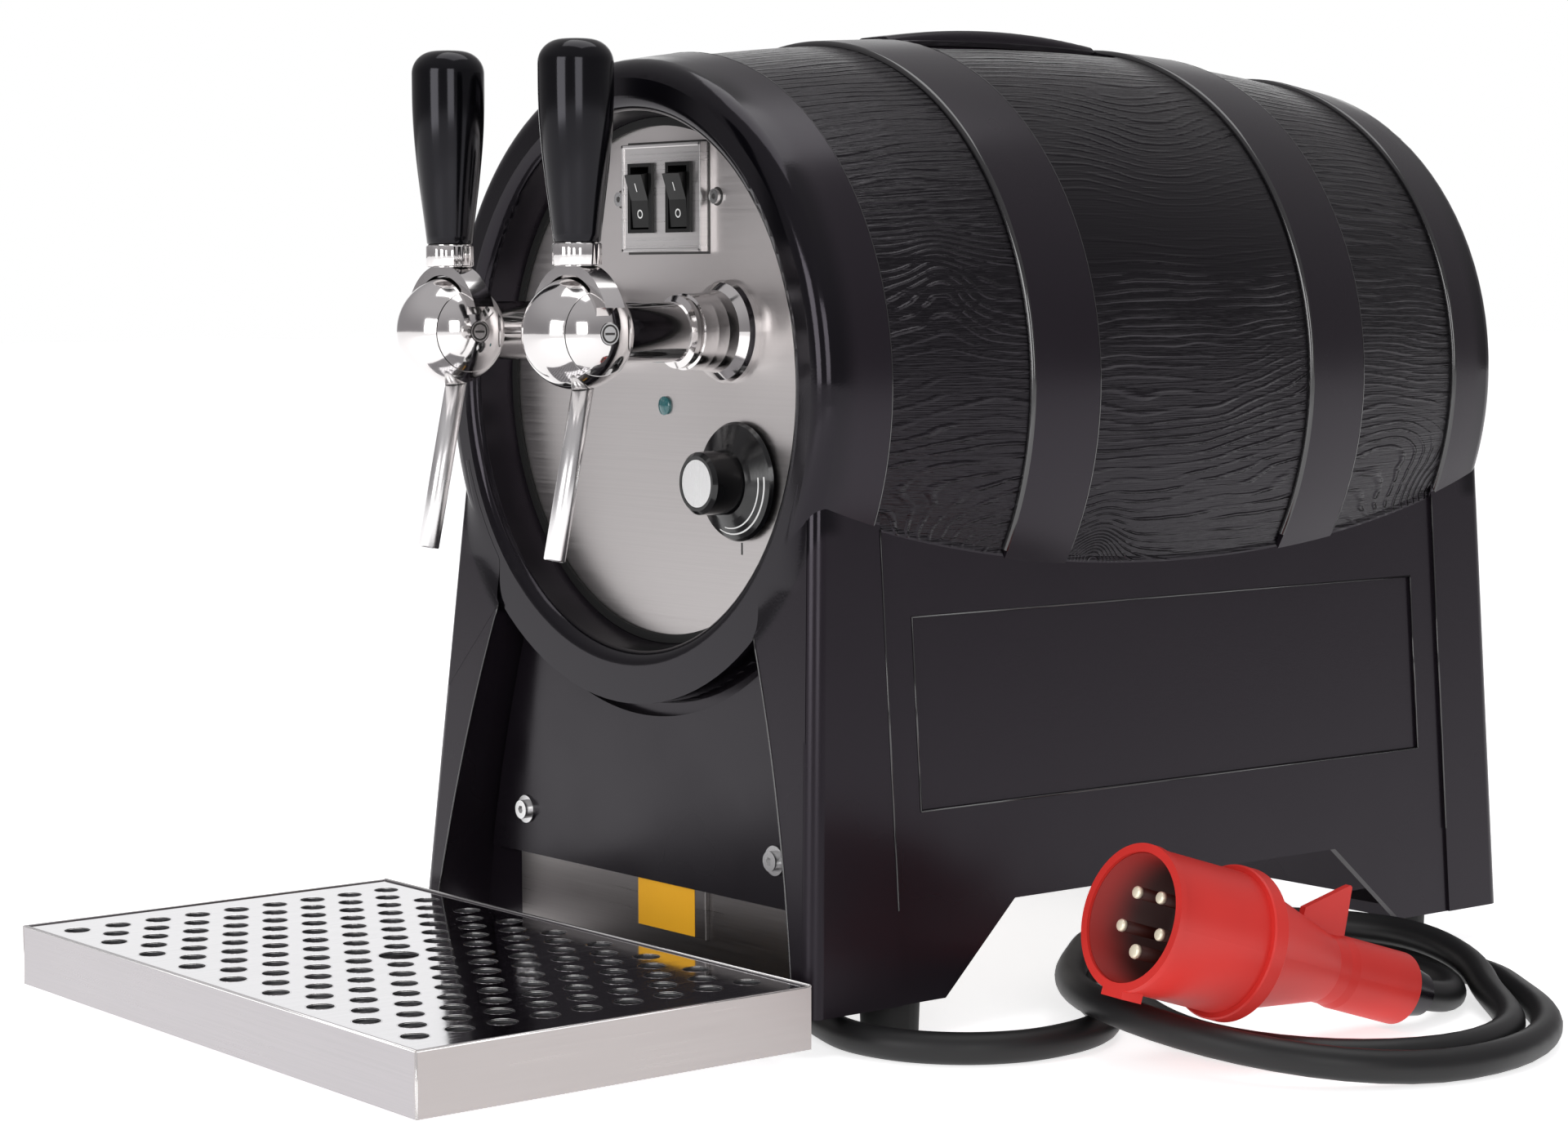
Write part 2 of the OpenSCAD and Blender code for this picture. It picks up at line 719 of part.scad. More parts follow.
module rocker(side) {
  pw = well_w - 2 * pass_gap;
  e = well_h / 2 - 1.8;
  color([0.05, 0.05, 0.05]) at_switch(side, pivot_y) rotate([rocker_turn / 2, 0, 0]) {
    rotate([90, 0, 90]) translate([0, 0, -pw / 2]) linear_extrude(pw)
      polygon([[-6.4, -e], [-4.9, 0], [-6.4, e], [-1.5, e], [2.2, 0], [-1.5, -e]]);
    translate([-well_w / 2 - 0.8, 0, 0]) along_x() cylinder(d = rocker_pin_d, h = well_w + 1.6, $fn = 24);
  }
}

module switch_body_left() { switch_body(-1); }
module switch_body_right() { switch_body(1); }
module rocker_left() { rocker(-1); }
module rocker_right() { rocker(1); }

module pilot_lamp() {
  color([0.1, 0.5, 0.45]) at_plate(lamp_x, lamp_z) rotate_extrude($fn = 32) {
    intersection() {
      translate([0, 2 - lamp_d]) circle(d = 2 * lamp_d, $fn = 96);
      translate([0, 0]) square([lamp_d / 2, 3]);
    }
    translate([0, -plate_t - 12]) square([lamp_d / 2 - 0.5, plate_t + 12.5]);
  }
}

// thermostat and knob
module thermostat() {
  color([0.8, 0.78, 0.7]) at_plate(knob_x, knob_z) difference() {
    union() {
      translate([0, 0, -plate_t - thermostat_depth]) cylinder(d = thermostat_d, h = thermostat_depth);
      translate([0, 0, -plate_t - 1]) cylinder(d = 10, h = plate_t + 2);
    }
    translate([0, 0, -plate_t - 14]) cylinder(d = spindle_d + 2 * run_clear, h = plate_t + 20, $fn = 48);
  }
}

module thermostat_spindle() {
  color([0.7, 0.7, 0.7]) at_plate(knob_x, knob_z) translate([0, 0, -plate_t - 13])
    cylinder(d = spindle_d, h = plate_t + 13 + knob_reach - 5, $fn = 48);
}

module thermostat_knob() {
  color([0.06, 0.06, 0.06]) at_plate(knob_x, knob_z) difference() {
    rotate_extrude($fn = 96)
      polygon([[0, 1.5], [skirt_d / 2 - 1, 1.5], [skirt_d / 2, 2.5], [skirt_d / 2 - 1, 4],
        [grip_d / 2 + 3, 7.5], [grip_d / 2 + 0.6, 8.5], [grip_d / 2, knob_reach - 1.5],
        [grip_d / 2 - 1.5, knob_reach], [0, knob_reach]]);
    translate([0, 0, -1]) cylinder(d = spindle_d + 2 * seat_clear, h = knob_reach - 3.8, $fn = 48);
    translate([0, 0, knob_reach - 1]) cylinder(d = disc_d + 2 * seat_clear, h = 3, $fn = 64);
  }
}

module knob_disc() {
  color([0.8, 0.8, 0.8]) at_plate(knob_x, knob_z) translate([0, 0, knob_reach - 1])
    cylinder(d = disc_d, h = 0.8, $fn = 64);
}

// taps: x across, y towards the plate, z up from the ball's centre
module at_tap(side) {
  translate([side * tap_x, plate_y - tap_reach, tap_z]) children();
}

module at_spout() {
  // z runs down the spout from its root inside the ball
  translate([0, spout_root_y, -ball_r / 2]) rotate([180 - spout_lean, 0, 0]) children();
}

module tap_flange(side) {
  r = tap_flange_d / 2;
  inner = shank_r + seat_clear;
  color([0.8, 0.8, 0.82]) at_tap(side) along_y() rotate_extrude($fn = 64)
    polygon([[inner, flange_y], [15.2, flange_y], [15.6, flange_y + 5], [r - 4, flange_y + 9],
      [r - 1, flange_y + 12], [r, flange_y + 14], [r, tap_reach], [inner, tap_reach]]);
}

module tap_shank(side) {
  bore = shank_bore_d / 2;
  color([0.8, 0.8, 0.82]) at_tap(side) along_y() rotate_extrude($fn = 64)
    polygon([[bore, neck_y], [shank_r, neck_y], [shank_r, collar_y], [shank_r + 2.5, collar_y + 1],
      [shank_r + 2.5, collar_y + 3], [shank_r + 1.2, collar_y + 3.6], [shank_r + 3.2, collar_y + 4.6],
      [shank_r + 3.2, flange_y], [shank_r, flange_y], [shank_r, shank_tail],
      [tube_d / 2 + seat_clear, shank_tail], [tube_d / 2 + seat_clear, shank_tail - 14],
      [4.5, shank_tail - 14], [4.5, valve_y + 1], [bore, valve_y + 0.5]]);
}

module tap_nuts() {
  color([0.7, 0.6, 0.35]) for (side = [-1, 1]) at_tap(side) translate([0, tap_reach + plate_t, 0]) along_y()
    difference() {
      cylinder(d = nut_w, h = nut_h, $fn = 6);
      translate([0, 0, -1]) cylinder(r = shank_r + seat_clear, h = nut_h + 2, $fn = 48);
    }
}

module tap_body(side) {
  color([0.82, 0.82, 0.84]) at_tap(side) difference() {
    union() {
      intersection() {
        sphere(r = ball_r, $fn = 96);
        cube([2 * slab_half, 3 * ball_r, 3 * ball_r], center = true);
      }
      along_y() translate([0, 0, ball_r - 8]) cylinder(r = shank_r, h = neck_y - ball_r + 8);
    }
    translate([-ball_r, 0, 0]) along_x() cylinder(d = axle_d + 2 * run_clear, h = 2 * ball_r, $fn = 48);
    along_y() translate([0, 0, 1]) cylinder(d = stem_d + 2 * run_clear, h = neck_y, $fn = 48);
    at_spout() cylinder(d = spout_d + 2 * seat_clear, h = ball_r + 4, $fn = 48);
  }
}

module tap_spout(side) {
  color([0.82, 0.82, 0.84]) at_tap(side) at_spout() difference() {
    cylinder(d = spout_d, h = spout_len, $fn = 48);
    translate([0, 0, -1]) cylinder(d = spout_bore_d, h = spout_len + 2, $fn = 48);
  }
}

module lever_cheek() {
  // spherical cap beside the ball, turned about the axle
  along_x() rotate_extrude($fn = 96) difference() {
    intersection() {
      circle(r = ball_r, $fn = 96);
      translate([axle_d / 2 + run_clear, cheek_in]) square([ball_r, ball_r]);
    }
    translate([0, ball_r - 3.4]) square([axle_d / 2 + 1.5, 10]);
  }
}

module fork_outline() {
  difference() {
    intersection() {
      circle(r = fork_out_r, $fn = 96);
      translate([-fork_out_r - 1, 10]) square([2 * fork_out_r + 2, fork_out_r]);
    }
    intersection() {
      circle(r = fork_in_r, $fn = 96);
      translate([-cheek_in, 0]) square([2 * cheek_in, 2 * fork_out_r]);
    }
  }
}

module tap_lever(side) {
  color([0.82, 0.82, 0.84]) at_tap(side) {
    for (m = [0, 1]) mirror([m, 0, 0]) lever_cheek();
    standing(-fork_w / 2, fork_w / 2) fork_outline();
    translate([0, 0, ferrule_z]) cylinder(d = ferrule_d, h = ferrule_h, $fn = 48);
  }
}

module tap_pivot(side) {
  color([0.6, 0.6, 0.62]) at_tap(side) {
    translate([-ball_r + 2, 0, 0]) along_x() cylinder(d = axle_d, h = 2 * ball_r - 4, $fn = 48);
    for (m = [0, 1]) mirror([m, 0, 0]) translate([ball_r - 3.4, 0, 0]) along_x()
      cylinder(d = axle_d + 2.4, h = 3, $fn = 48);
  }
}

module tap_handle(side) {
  // slim above the ferrule, swelling to the thick end with a rounded top
  r = handle_d / 2;
  foot_r = ferrule_d / 2 - 0.4;
  top = handle_len - handle_round;
  swell = [for (i = [0 : 12]) let (u = i / 12)
    [foot_r + (r - foot_r) * (0.45 * u + 0.55 * (1 - cos(180 * u)) / 2), 0.6 + (top * 0.92 - 0.6) * u]];
  color([0.04, 0.04, 0.04]) at_tap(side) translate([0, 0, handle_z]) rotate_extrude($fn = 64) {
    polygon(concat([[0, 0], [foot_r - 0.6, 0]], swell, [[r, top], [0, top]]));
    translate([0, top - 1]) square([r - handle_round, handle_round + 1]);
    intersection() {
      translate([r - handle_round, top]) circle(r = handle_round, $fn = 64);
      translate([0, top - 1]) square([r, handle_round + 2]);
    }
  }
}

module valve_stem(side) {
  color([0.75, 0.65, 0.4]) at_tap(side) along_y() {
    translate([0, 0, stem_front]) cylinder(d = stem_d, h = neck_y - stem_front, $fn = 48);
    translate([0, 0, neck_y - 0.1]) cylinder(d = stem_d - 3, h = valve_y - neck_y - 3.9, $fn = 48);
    translate([0, 0, valve_y - 4.1]) cylinder(d = shank_bore_d - 2 * pass_gap, h = 4, $fn = 48);
  }
}

module tap_flange_left() { tap_flange(-1); }
module tap_flange_right() { tap_flange(1); }
module tap_shank_left() { tap_shank(-1); }
module tap_shank_right() { tap_shank(1); }
module tap_body_left() { tap_body(-1); }
module tap_body_right() { tap_body(1); }
module tap_spout_left() { tap_spout(-1); }
module tap_spout_right() { tap_spout(1); }
module tap_lever_left() { tap_lever(-1); }
module tap_lever_right() { tap_lever(1); }
module tap_pivot_left() { tap_pivot(-1); }
module tap_pivot_right() { tap_pivot(1); }
module tap_handle_left() { tap_handle(-1); }
module tap_handle_right() { tap_handle(1); }
module valve_stem_left() { valve_stem(-1); }
module valve_stem_right() { valve_stem(1); }

// lower front
module front_panel() {
  color([0.05, 0.05, 0.05]) difference() {
    union() {
      standing(panel_y, upright_y) leg_field(panel_inset, panel_z);
      standing(panel_y, wall_y) leg_field(panel_inset, bracket_z1 + pass_gap);
    }
    at_panel_screws() translate([0, 0, panel_y - wall_y - 1])
      cylinder(d = panel_screw_d + 2 * seat_clear, h = wall_y - panel_y + 2, $fn = 24);
  }
}

module front_panel_screws() {
  color([0.75, 0.75, 0.75]) for (x = [-1, 1])
    translate([x * panel_screw_x, panel_y, panel_screw_z]) rotate([90, 0, 0]) {
      screw(panel_head_d, panel_head_h, panel_screw_d, leg_recess_d - panel_d + panel_screw_d);
      difference() {
        cylinder(d = panel_washer_d, h = panel_washer_t, $fn = 48);
        translate([0, 0, -1]) cylinder(d = panel_head_d - 0.1, h = panel_washer_t + 2, $fn = 24);
      }
    }
}

module tray_bracket() {
  shelf_z = tray_z - bracket_t;
  tab_x = 45;
  color([0.75, 0.75, 0.76]) difference() {
    union() {
      translate([-bracket_half, upright_y, shelf_z])
        cube([2 * bracket_half, wall_y - upright_y, bracket_z1 - shelf_z]);
      translate([-bracket_half, wall_y - shelf_reach - tray_gap, shelf_z])
        cube([2 * bracket_half, shelf_reach + tray_gap, bracket_t]);
      translate([0, upright_y - bracket_t, 30]) cube([tab_x, bracket_t + 0.1, 17]);
    }
    at_panel_screws() translate([0, 0, panel_y - wall_y - 1])
      cylinder(d = panel_screw_d + 2 * seat_clear, h = wall_y - panel_y + 2, $fn = 24);
  }
}

module drip_tray() {
  color([0.76, 0.76, 0.77]) translate([-tray_w / 2, front_y, tray_z]) difference() {
    cube([tray_w, tray_d, tray_h]);
    translate([tray_t, tray_t, grid_z - tray_z]) cube([tray_w - 2 * tray_t, tray_d - 2 * tray_t, tray_h]);
    translate([tray_t, tray_t + ledge_w, tray_t])
      cube([tray_w - 2 * tray_t, tray_d - 2 * tray_t - 2 * ledge_w, tray_h]);
    translate([tray_t, tray_t, tray_t])
      cube([tray_w - 2 * tray_t, tray_d - 2 * tray_t, grid_z - tray_z - 2 * tray_t]);
  }
}

module drip_grid() {
  gy = front_y + tray_d / 2;
  color([0.82, 0.82, 0.83]) translate([0, gy, grid_z]) difference() {
    translate([-grid_w / 2, -grid_d / 2, 0]) cube([grid_w, grid_d, grid_t]);
    for (i = [-grid_cols : grid_cols], j = [-grid_rows : grid_rows]) {
      odd = abs(i) % 2;
      y = (j + odd / 2) * grid_pitch;
      if (!(i == 0 && j == 0) && abs(y) + grid_hole_d * 0.75 < grid_d / 2)
        translate([i * grid_dx, y, -1]) cylinder(d = grid_hole_d, h = grid_t + 2, $fn = 24);
    }
    translate([0, 0, -1]) cylinder(d = finger_hole_d, h = grid_t + 2, $fn = 32);
  }
}

// underside
module bottom_plate() {
  w = hw(bottom_z) - wall - pass_gap;
  color([0.7, 0.7, 0.7]) difference() {
    translate([-w, cav_y0 + pass_gap, bottom_z - bottom_t])
      cube([2 * w, cav_y1 - cav_y0 - 2 * pass_gap, bottom_t]);
    at_bottom_screws() translate([0, 0, -bottom_t - 1])
      cylinder(d = small_screw_d + 2 * seat_clear, h = bottom_t + 2, $fn = 24);
    translate([(box_x0 + box_x1) / 2, (box_y0 + box_y1) / 2, bottom_z - bottom_t - 1])
      cylinder(d = wire_hole_d, h = bottom_t + 2, $fn = 32);
  }
}

module bottom_plate_screws() {
  color([0.75, 0.75, 0.75]) at_bottom_screws() screw(small_head_d, small_head_h, small_screw_d, ledge_t);
}

module rubber_feet() {
  color([0.03, 0.03, 0.03]) at_feet() {
    rotate_extrude($fn = 48)
      polygon([[0, 0], [foot_d / 2 - 2, 0], [foot_d / 2 - 0.5, 2], [foot_d / 2, foot_h], [0, foot_h]]);
    translate([0, 0, foot_h - 1]) cylinder(d = foot_peg_d, h = 7, $fn = 32);
  }
}

// rear
module back_plate() {
  color([0.7, 0.7, 0.7]) difference() {
    translate([0, back_y - plate_t, barrel_axis_z]) along_y() cylinder(r = plate_r, h = plate_t, $fn = 128);
    for (x = [-1, 1]) translate([x * tap_x, back_y - plate_t - 1, tap_z]) along_y()
      cylinder(d = inlet_body_d + 2 * seat_clear, h = plate_t + 2, $fn = 48);
    at_back_screws() translate([0, 0, -plate_t - 1])
      cylinder(d = small_screw_d + 2 * seat_clear, h = plate_t + 2, $fn = 24);
  }
}

module back_plate_screws() {
  color([0.75, 0.75, 0.75]) at_back_screws()
    screw(small_head_d, small_head_h, small_screw_d, plate_t + flange_t);
}

module inlet_fittings() {
  nut_h = 5;
  tail = plate_t + 9;
  color([0.75, 0.65, 0.4]) for (x = [-1, 1]) translate([x * tap_x, back_y, tap_z]) along_y() difference() {
    union() {
      cylinder(d = inlet_nut_w, h = nut_h, $fn = 6);
      translate([0, 0, -tail]) cylinder(d = inlet_body_d, h = tail + 0.1, $fn = 48);
      cylinder(d = spigot_d, h = nut_h + spigot_len, $fn = 48);
    }
    translate([0, 0, -tail - 1]) cylinder(d = spigot_d - 3, h = tail + nut_h + spigot_len + 2, $fn = 48);
    translate([0, 0, -tail - 1]) cylinder(d = tube_d + 2 * seat_clear, h = tail - plate_t, $fn = 48);
  }
}

// inside the barrel
module heating_tank() {
  color([0.8, 0.8, 0.8]) difference() {
    translate([0, tank_y0, barrel_axis_z]) along_y() difference() {
      cylinder(r = tank_r, h = tank_len, $fn = 128);
      translate([0, 0, tank_t]) cylinder(r = tank_r - tank_t, h = tank_len - 2 * tank_t, $fn = 128);
    }
    for (x = [-1, 1]) translate([x * tap_x, tank_y0 - 1, tap_z]) along_y()
      cylinder(d = tube_d + 2 * seat_clear, h = tank_len + 2, $fn = 48);
    translate([0, tank_y1 - 5, barrel_axis_z - tank_r / 2]) along_y()
      cylinder(d = element_neck_d + 2 * seat_clear, h = 10, $fn = 48);
  }
}

module heating_element() {
  rod_d = 8;
  rod_z = 6;
  rod_len = tank_len - 30;
  color([0.6, 0.55, 0.5]) translate([0, tank_y1, barrel_axis_z - tank_r / 2]) {
    along_y() cylinder(d = element_flange_d, h = 8, $fn = 48);
    along_y() translate([0, 0, -6]) cylinder(d = element_neck_d, h = 7, $fn = 48);
    for (x = [-1, 1], z = [-1, 1]) translate([x * element_rod_x, 0, z * rod_z]) along_y()
      translate([0, 0, -rod_len]) cylinder(d = rod_d, h = rod_len + 1, $fn = 32);
    for (x = [-1, 1]) translate([x * element_rod_x, -rod_len, 0])
      cube([rod_d, rod_d, 2 * rod_z + rod_d], center = true);
  }
}

module tank_cradles() {
  color([0.65, 0.65, 0.66]) difference() {
    for (y = [tank_y0 + cradle_in, tank_y1 - cradle_in - cradle_t]) translate([-cradle_w / 2, y, bottom_z])
      cube([cradle_w, cradle_t, barrel_axis_z - tank_r * 0.8 - bottom_z]);
    translate([0, tank_y0, barrel_axis_z]) along_y()
      cylinder(r = tank_r + seat_clear, h = tank_len, $fn = 128);
  }
}

module product_tubes() {
  y0 = plate_y - tap_reach + shank_tail - 13;
  y1 = back_y - plate_t - 2;
  color([0.85, 0.83, 0.78]) for (x = [-1, 1]) translate([x * tap_x, y0, tap_z]) along_y() difference() {
    cylinder(d = tube_d, h = y1 - y0, $fn = 48);
    translate([0, 0, -1]) cylinder(d = tube_d - 2 * tube_t, h = y1 - y0 + 2, $fn = 48);
  }
}

// mains entry
module terminal_box() {
  box_wall = 3;
  box_w = box_x1 - box_x0;
  box_d = box_y1 - box_y0;
  color([0.08, 0.08, 0.08]) difference() {
    translate([box_x0, box_y0, box_z0]) cube([box_w, box_d, bottom_z - bottom_t - box_z0]);
    translate([box_x0 + box_wall, box_y0 + box_wall, box_z0 + box_wall])
      cube([box_w - 2 * box_wall, box_d - 2 * box_wall, bottom_z]);
    translate([box_x1 - 5, gland_y, gland_z]) along_x()
      cylinder(d = cable_d + 2 * seat_clear, h = 10, $fn = 48);
  }
}

module terminal_block() {
  pole_w = 8;
  color([0.85, 0.83, 0.75]) for (i = [0 : 4])
    translate([box_x0 + 8 + i * pole_w, box_y0 + 8, box_z0 + 3]) difference() {
      cube([pole_w, 20, 14]);
      for (y = [5, 15]) translate([pole_w / 2, y, 6]) cylinder(d = 3.4, h = 10, $fn = 24);
    }
}

module cable_gland() {
  nut_h = 8;
  color([0.06, 0.06, 0.06]) translate([box_x1, gland_y, gland_z]) along_x() difference() {
    union() {
      cylinder(d = 28, h = nut_h, $fn = 6);
      translate([0, 0, nut_h - 0.5])
        cylinder(d1 = 24, d2 = cable_d + 3, h = cable_gland_len - nut_h + 0.5, $fn = 48);
    }
    translate([0, 0, -1]) cylinder(d = 10, h = cable_gland_len + 2, $fn = 32);
  }
}

// cable
function unit(v) = v / norm(v);
function last(a) = a[len(a) - 1];
function heading(p, i) = i == 0 ? unit(p[1] - p[0])
  : i == len(p) - 1 ? unit(p[i] - p[i - 1]) : unit(unit(p[i] - p[i - 1]) + unit(p[i + 1] - p[i]));
function ring(c, d, r, n) = let (a = unit(cross([0, 0, 1], d)), b = cross(d, a))
  [for (k = [0 : n - 1]) c + r * (cos(360 * k / n) * a + sin(360 * k / n) * b)];

module swept(p, r, n) {
  rings = [for (i = [0 : len(p) - 1]) each ring(p[i], heading(p, i), r, n)];
  m = len(p);
  sides = [for (i = [0 : m - 2], k = [0 : n - 1]) each [
    [i * n + k, (i + 1) * n + k, i * n + (k + 1) % n],
    [i * n + (k + 1) % n, (i + 1) * n + k, (i + 1) * n + (k + 1) % n]]];
  ends = [[for (k = [0 : n - 1]) k], [for (k = [n - 1 : -1 : 0]) (m - 1) * n + k]];
  polyhedron(rings, concat(sides, ends));
}

floor_line = cable_d / 2 + 0.3;
lead_route = [[0, gland_y, gland_z], [20, gland_y, gland_z], [42, -53, 21.5], [66, -60, 13],
  [91, -71, floor_line + 0.5], [116, -82, floor_line], [139, -87, floor_line], [162, -82, floor_line],
  [180.5, -67.5, floor_line], [191, -47, floor_line], [192, -24, floor_line], [186.5, -4, floor_line],
  [175, 11.5, floor_line], [157, 24, floor_line]];
coil_x = 184.6;
coil_y = 110;
coil_r = 88;
coil_from = 235;
coil_turn = 955;
coil_rings = 30;
over_z = cable_d + 0.6;
function ease(a, b, t) = t <= a ? 0 : t >= b ? 1 : (1 - cos(180 * (t - a) / (b - a))) / 2;
function bump(a, b, t) = t <= a || t >= b ? 0 : (1 - cos(360 * (t - a) / (b - a))) / 2;
function past(a, b, t) = t <= a ? 0 : pow((t - a) / (b - a), 2);
function coil_radius(t) = coil_r + 59 * bump(180, 375, t) - 12.8 * ease(395, 520, t)
  + 46 * bump(545, 706, t) - 18 * past(640, coil_turn, t);
function coil_height(t) = floor_line + over_z * (ease(255, 322, t) - ease(490, 580, t))
  + 9 * past(900, coil_turn, t);
function coil_point(t) = [coil_x + coil_radius(t) * cos(coil_from - t),
  coil_y + coil_radius(t) * sin(coil_from - t), coil_height(t)];
coil_step = 360 / coil_rings;
coil_loop = [for (i = [0 : floor(coil_turn / coil_step)]) coil_point(i * coil_step), coil_point(coil_turn)];
coil_end = last(coil_loop) - coil_point(coil_turn - 1);
plug_turn = atan2(coil_end[0], -coil_end[1]);
plug_axis = [cos(plug_lean) * sin(plug_turn), -cos(plug_lean) * cos(plug_turn), sin(plug_lean)];
plug_root = last(coil_loop) + 2 * plug_axis;
coil_route = concat([last(lead_route)], coil_loop, [plug_root]);
coil_gap = min([for (i = [0 : len(coil_loop) - 1], j = [0 : len(coil_loop) - 1])
  if (j > i + 6) norm(coil_loop[i] - coil_loop[j]) - cable_d]);
echo(least_gap_between_windings = coil_gap);

module cable_lead() {
  color([0.04, 0.04, 0.04]) swept(lead_route, cable_d / 2, 10);
}

module cable_coil() {
  color([0.04, 0.04, 0.04]) swept(coil_route, cable_d / 2, 6);
}

// plug: z runs from the cable's end to the mouth
plug_start = 2;
module at_plug() {
  translate(plug_root) rotate([0, 0, plug_turn]) rotate([90 - plug_lean, 0, 0]) children();
}

module plug_gland() {
  back = plug_gland_len - plug_start;
  color([0.05, 0.05, 0.05]) at_plug() difference() {
    union() {
      translate([0, 0, -back]) cylinder(d1 = cable_d + 5, d2 = 23, h = plug_gland_len, $fn = 48);
      translate([0, 0, plug_start - 0.5]) cylinder(d = gland_stem_d, h = gland_stem_len + 0.5, $fn = 48);
    }
    translate([0, 0, -back - 1]) cylinder(d = cable_d + 2, h = back + 1.4, $fn = 48);
    cylinder(d = 8, h = plug_start + gland_stem_len + 1, $fn = 32);
  }
}

module plug_body() {
  lip = plug_len - shroud_len;
  ring_z = lip - 7;
  cone_r = shroud_r - 2;
  rim_r = shroud_r + 0.8;
  waist_r = plug_grip_r - 0.8;
  color([0.7, 0.08, 0.05]) at_plug() translate([0, 0, plug_start]) difference() {
    union() {
      rotate_extrude($fn = 96)
        polygon([[0, 0], [plug_grip_r - 1, 0], [plug_grip_r, 1], [plug_grip_r, 34], [waist_r, 38],
          [waist_r, 44], [cone_r, ring_z], [plug_ring_r - 0.6, ring_z], [plug_ring_r, ring_z + 0.6],
          [plug_ring_r, lip - 0.6], [plug_ring_r - 0.6, lip], [shroud_r, lip], [shroud_r, plug_len - 3.5],
          [rim_r, plug_len - 3], [rim_r, plug_len], [0, plug_len]]);
      // blade on top
      rotate([90, 0, 90]) translate([0, 0, -1.5]) linear_extrude(3)
        polygon([[waist_r - 3, 34.5], [waist_r, 35], [fin_h - 0.6, 37], [fin_h, 38], [fin_h - 0.6, 39],
          [21, 58], [waist_r - 3, 58]]);
      // key under the mouth
      translate([-6, -shroud_r - 3, plug_len - 10]) cube([12, 4.5, 10]);
    }
    translate([0, 0, plug_len - mouth_d]) cylinder(r = shroud_r - shroud_t, h = mouth_d + 1, $fn = 64);
    translate([0, 0, -1]) cylinder(d = gland_stem_d + 2 * seat_clear, h = gland_stem_len + 2, $fn = 48);
    cylinder(d = 8, h = 30, $fn = 32);
  }
}

module plug_pins() {
  pins_r = shroud_r - shroud_t - 9.5;
  color([0.8, 0.6, 0.2]) at_plug() translate([0, 0, plug_start + plug_len - mouth_d])
    for (i = [0 : 4]) rotate([0, 0, 270 + i * 72]) translate([pins_r, 0, 0])
      cylinder(d = i == 0 ? 6 : 5, h = mouth_d - 9, $fn = 24);
}

housing();
carry_handle();
front_plate();
plate_seal();
switch_plate();
switch_plate_screws();
switch_body_left();
switch_body_right();
rocker_left();
rocker_right();
pilot_lamp();
thermostat();
thermostat_spindle();
thermostat_knob();
knob_disc();
tap_flange_left();
tap_flange_right();
tap_shank_left();
tap_shank_right();
tap_nuts();
tap_body_left();
tap_body_right();
tap_spout_left();
tap_spout_right();
tap_lever_left();
tap_lever_right();
tap_pivot_left();
tap_pivot_right();
tap_handle_left();
tap_handle_right();
valve_stem_left();
valve_stem_right();
front_panel();
front_panel_screws();
tray_bracket();
drip_tray();
drip_grid();
bottom_plate();
bottom_plate_screws();
rubber_feet();
back_plate();
back_plate_screws();
inlet_fittings();
heating_tank();
heating_element();
tank_cradles();
product_tubes();
terminal_box();
terminal_block();
cable_gland();
cable_lead();
cable_coil();
plug_gland();
plug_body();
plug_pins();
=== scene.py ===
import json
import math

import bmesh
import bpy
from mathutils import Matrix, Vector


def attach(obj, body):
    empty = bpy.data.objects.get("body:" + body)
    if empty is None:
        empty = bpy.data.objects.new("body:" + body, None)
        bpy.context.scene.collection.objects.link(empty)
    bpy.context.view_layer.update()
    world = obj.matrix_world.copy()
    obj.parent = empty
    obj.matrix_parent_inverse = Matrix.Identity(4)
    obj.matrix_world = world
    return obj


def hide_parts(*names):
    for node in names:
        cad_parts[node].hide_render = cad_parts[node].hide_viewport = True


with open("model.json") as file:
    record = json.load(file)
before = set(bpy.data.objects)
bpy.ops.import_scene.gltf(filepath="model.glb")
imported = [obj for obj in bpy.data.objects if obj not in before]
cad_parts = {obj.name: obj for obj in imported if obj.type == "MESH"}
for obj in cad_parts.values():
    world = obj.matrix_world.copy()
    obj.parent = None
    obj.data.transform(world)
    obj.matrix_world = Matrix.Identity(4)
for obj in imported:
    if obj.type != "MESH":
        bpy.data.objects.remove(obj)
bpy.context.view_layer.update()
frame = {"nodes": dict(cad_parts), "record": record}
nodes = frame["nodes"]
scene = bpy.context.scene
mm = 0.001
move = Matrix.Translation
bothSides = ("left", "right")

# places of the joints and boxes of the nodes, in millimetres
jointAt = {j["name"]: [c / mm for c in j["pos_m"]] for j in frame["record"]["behaviour"]["joints"]
           if j.get("pos_m")}


def nodeBox(name):
    points = [nodes[name].matrix_world @ v.co for v in nodes[name].data.vertices]
    return [[round(pick(p[i] for p in points) / mm, 3) for i in range(3)] for pick in (min, max)]


def spin(degrees, axis):
    return Matrix.Rotation(math.radians(degrees), 4, axis)


def addObject(name, data):
    made = bpy.data.objects.new(name, data)
    scene.collection.objects.link(made)
    return made


# camera, fitted to the photograph
view = {"focalPx": 4237.1, "imageW": 1920, "sensor": 36, "clip": (0.05, 60), "yaw": 51.542, "pitch": 4.795,
        "roll": -0.150, "place": (1.1475, -0.9223, 0.2967)}


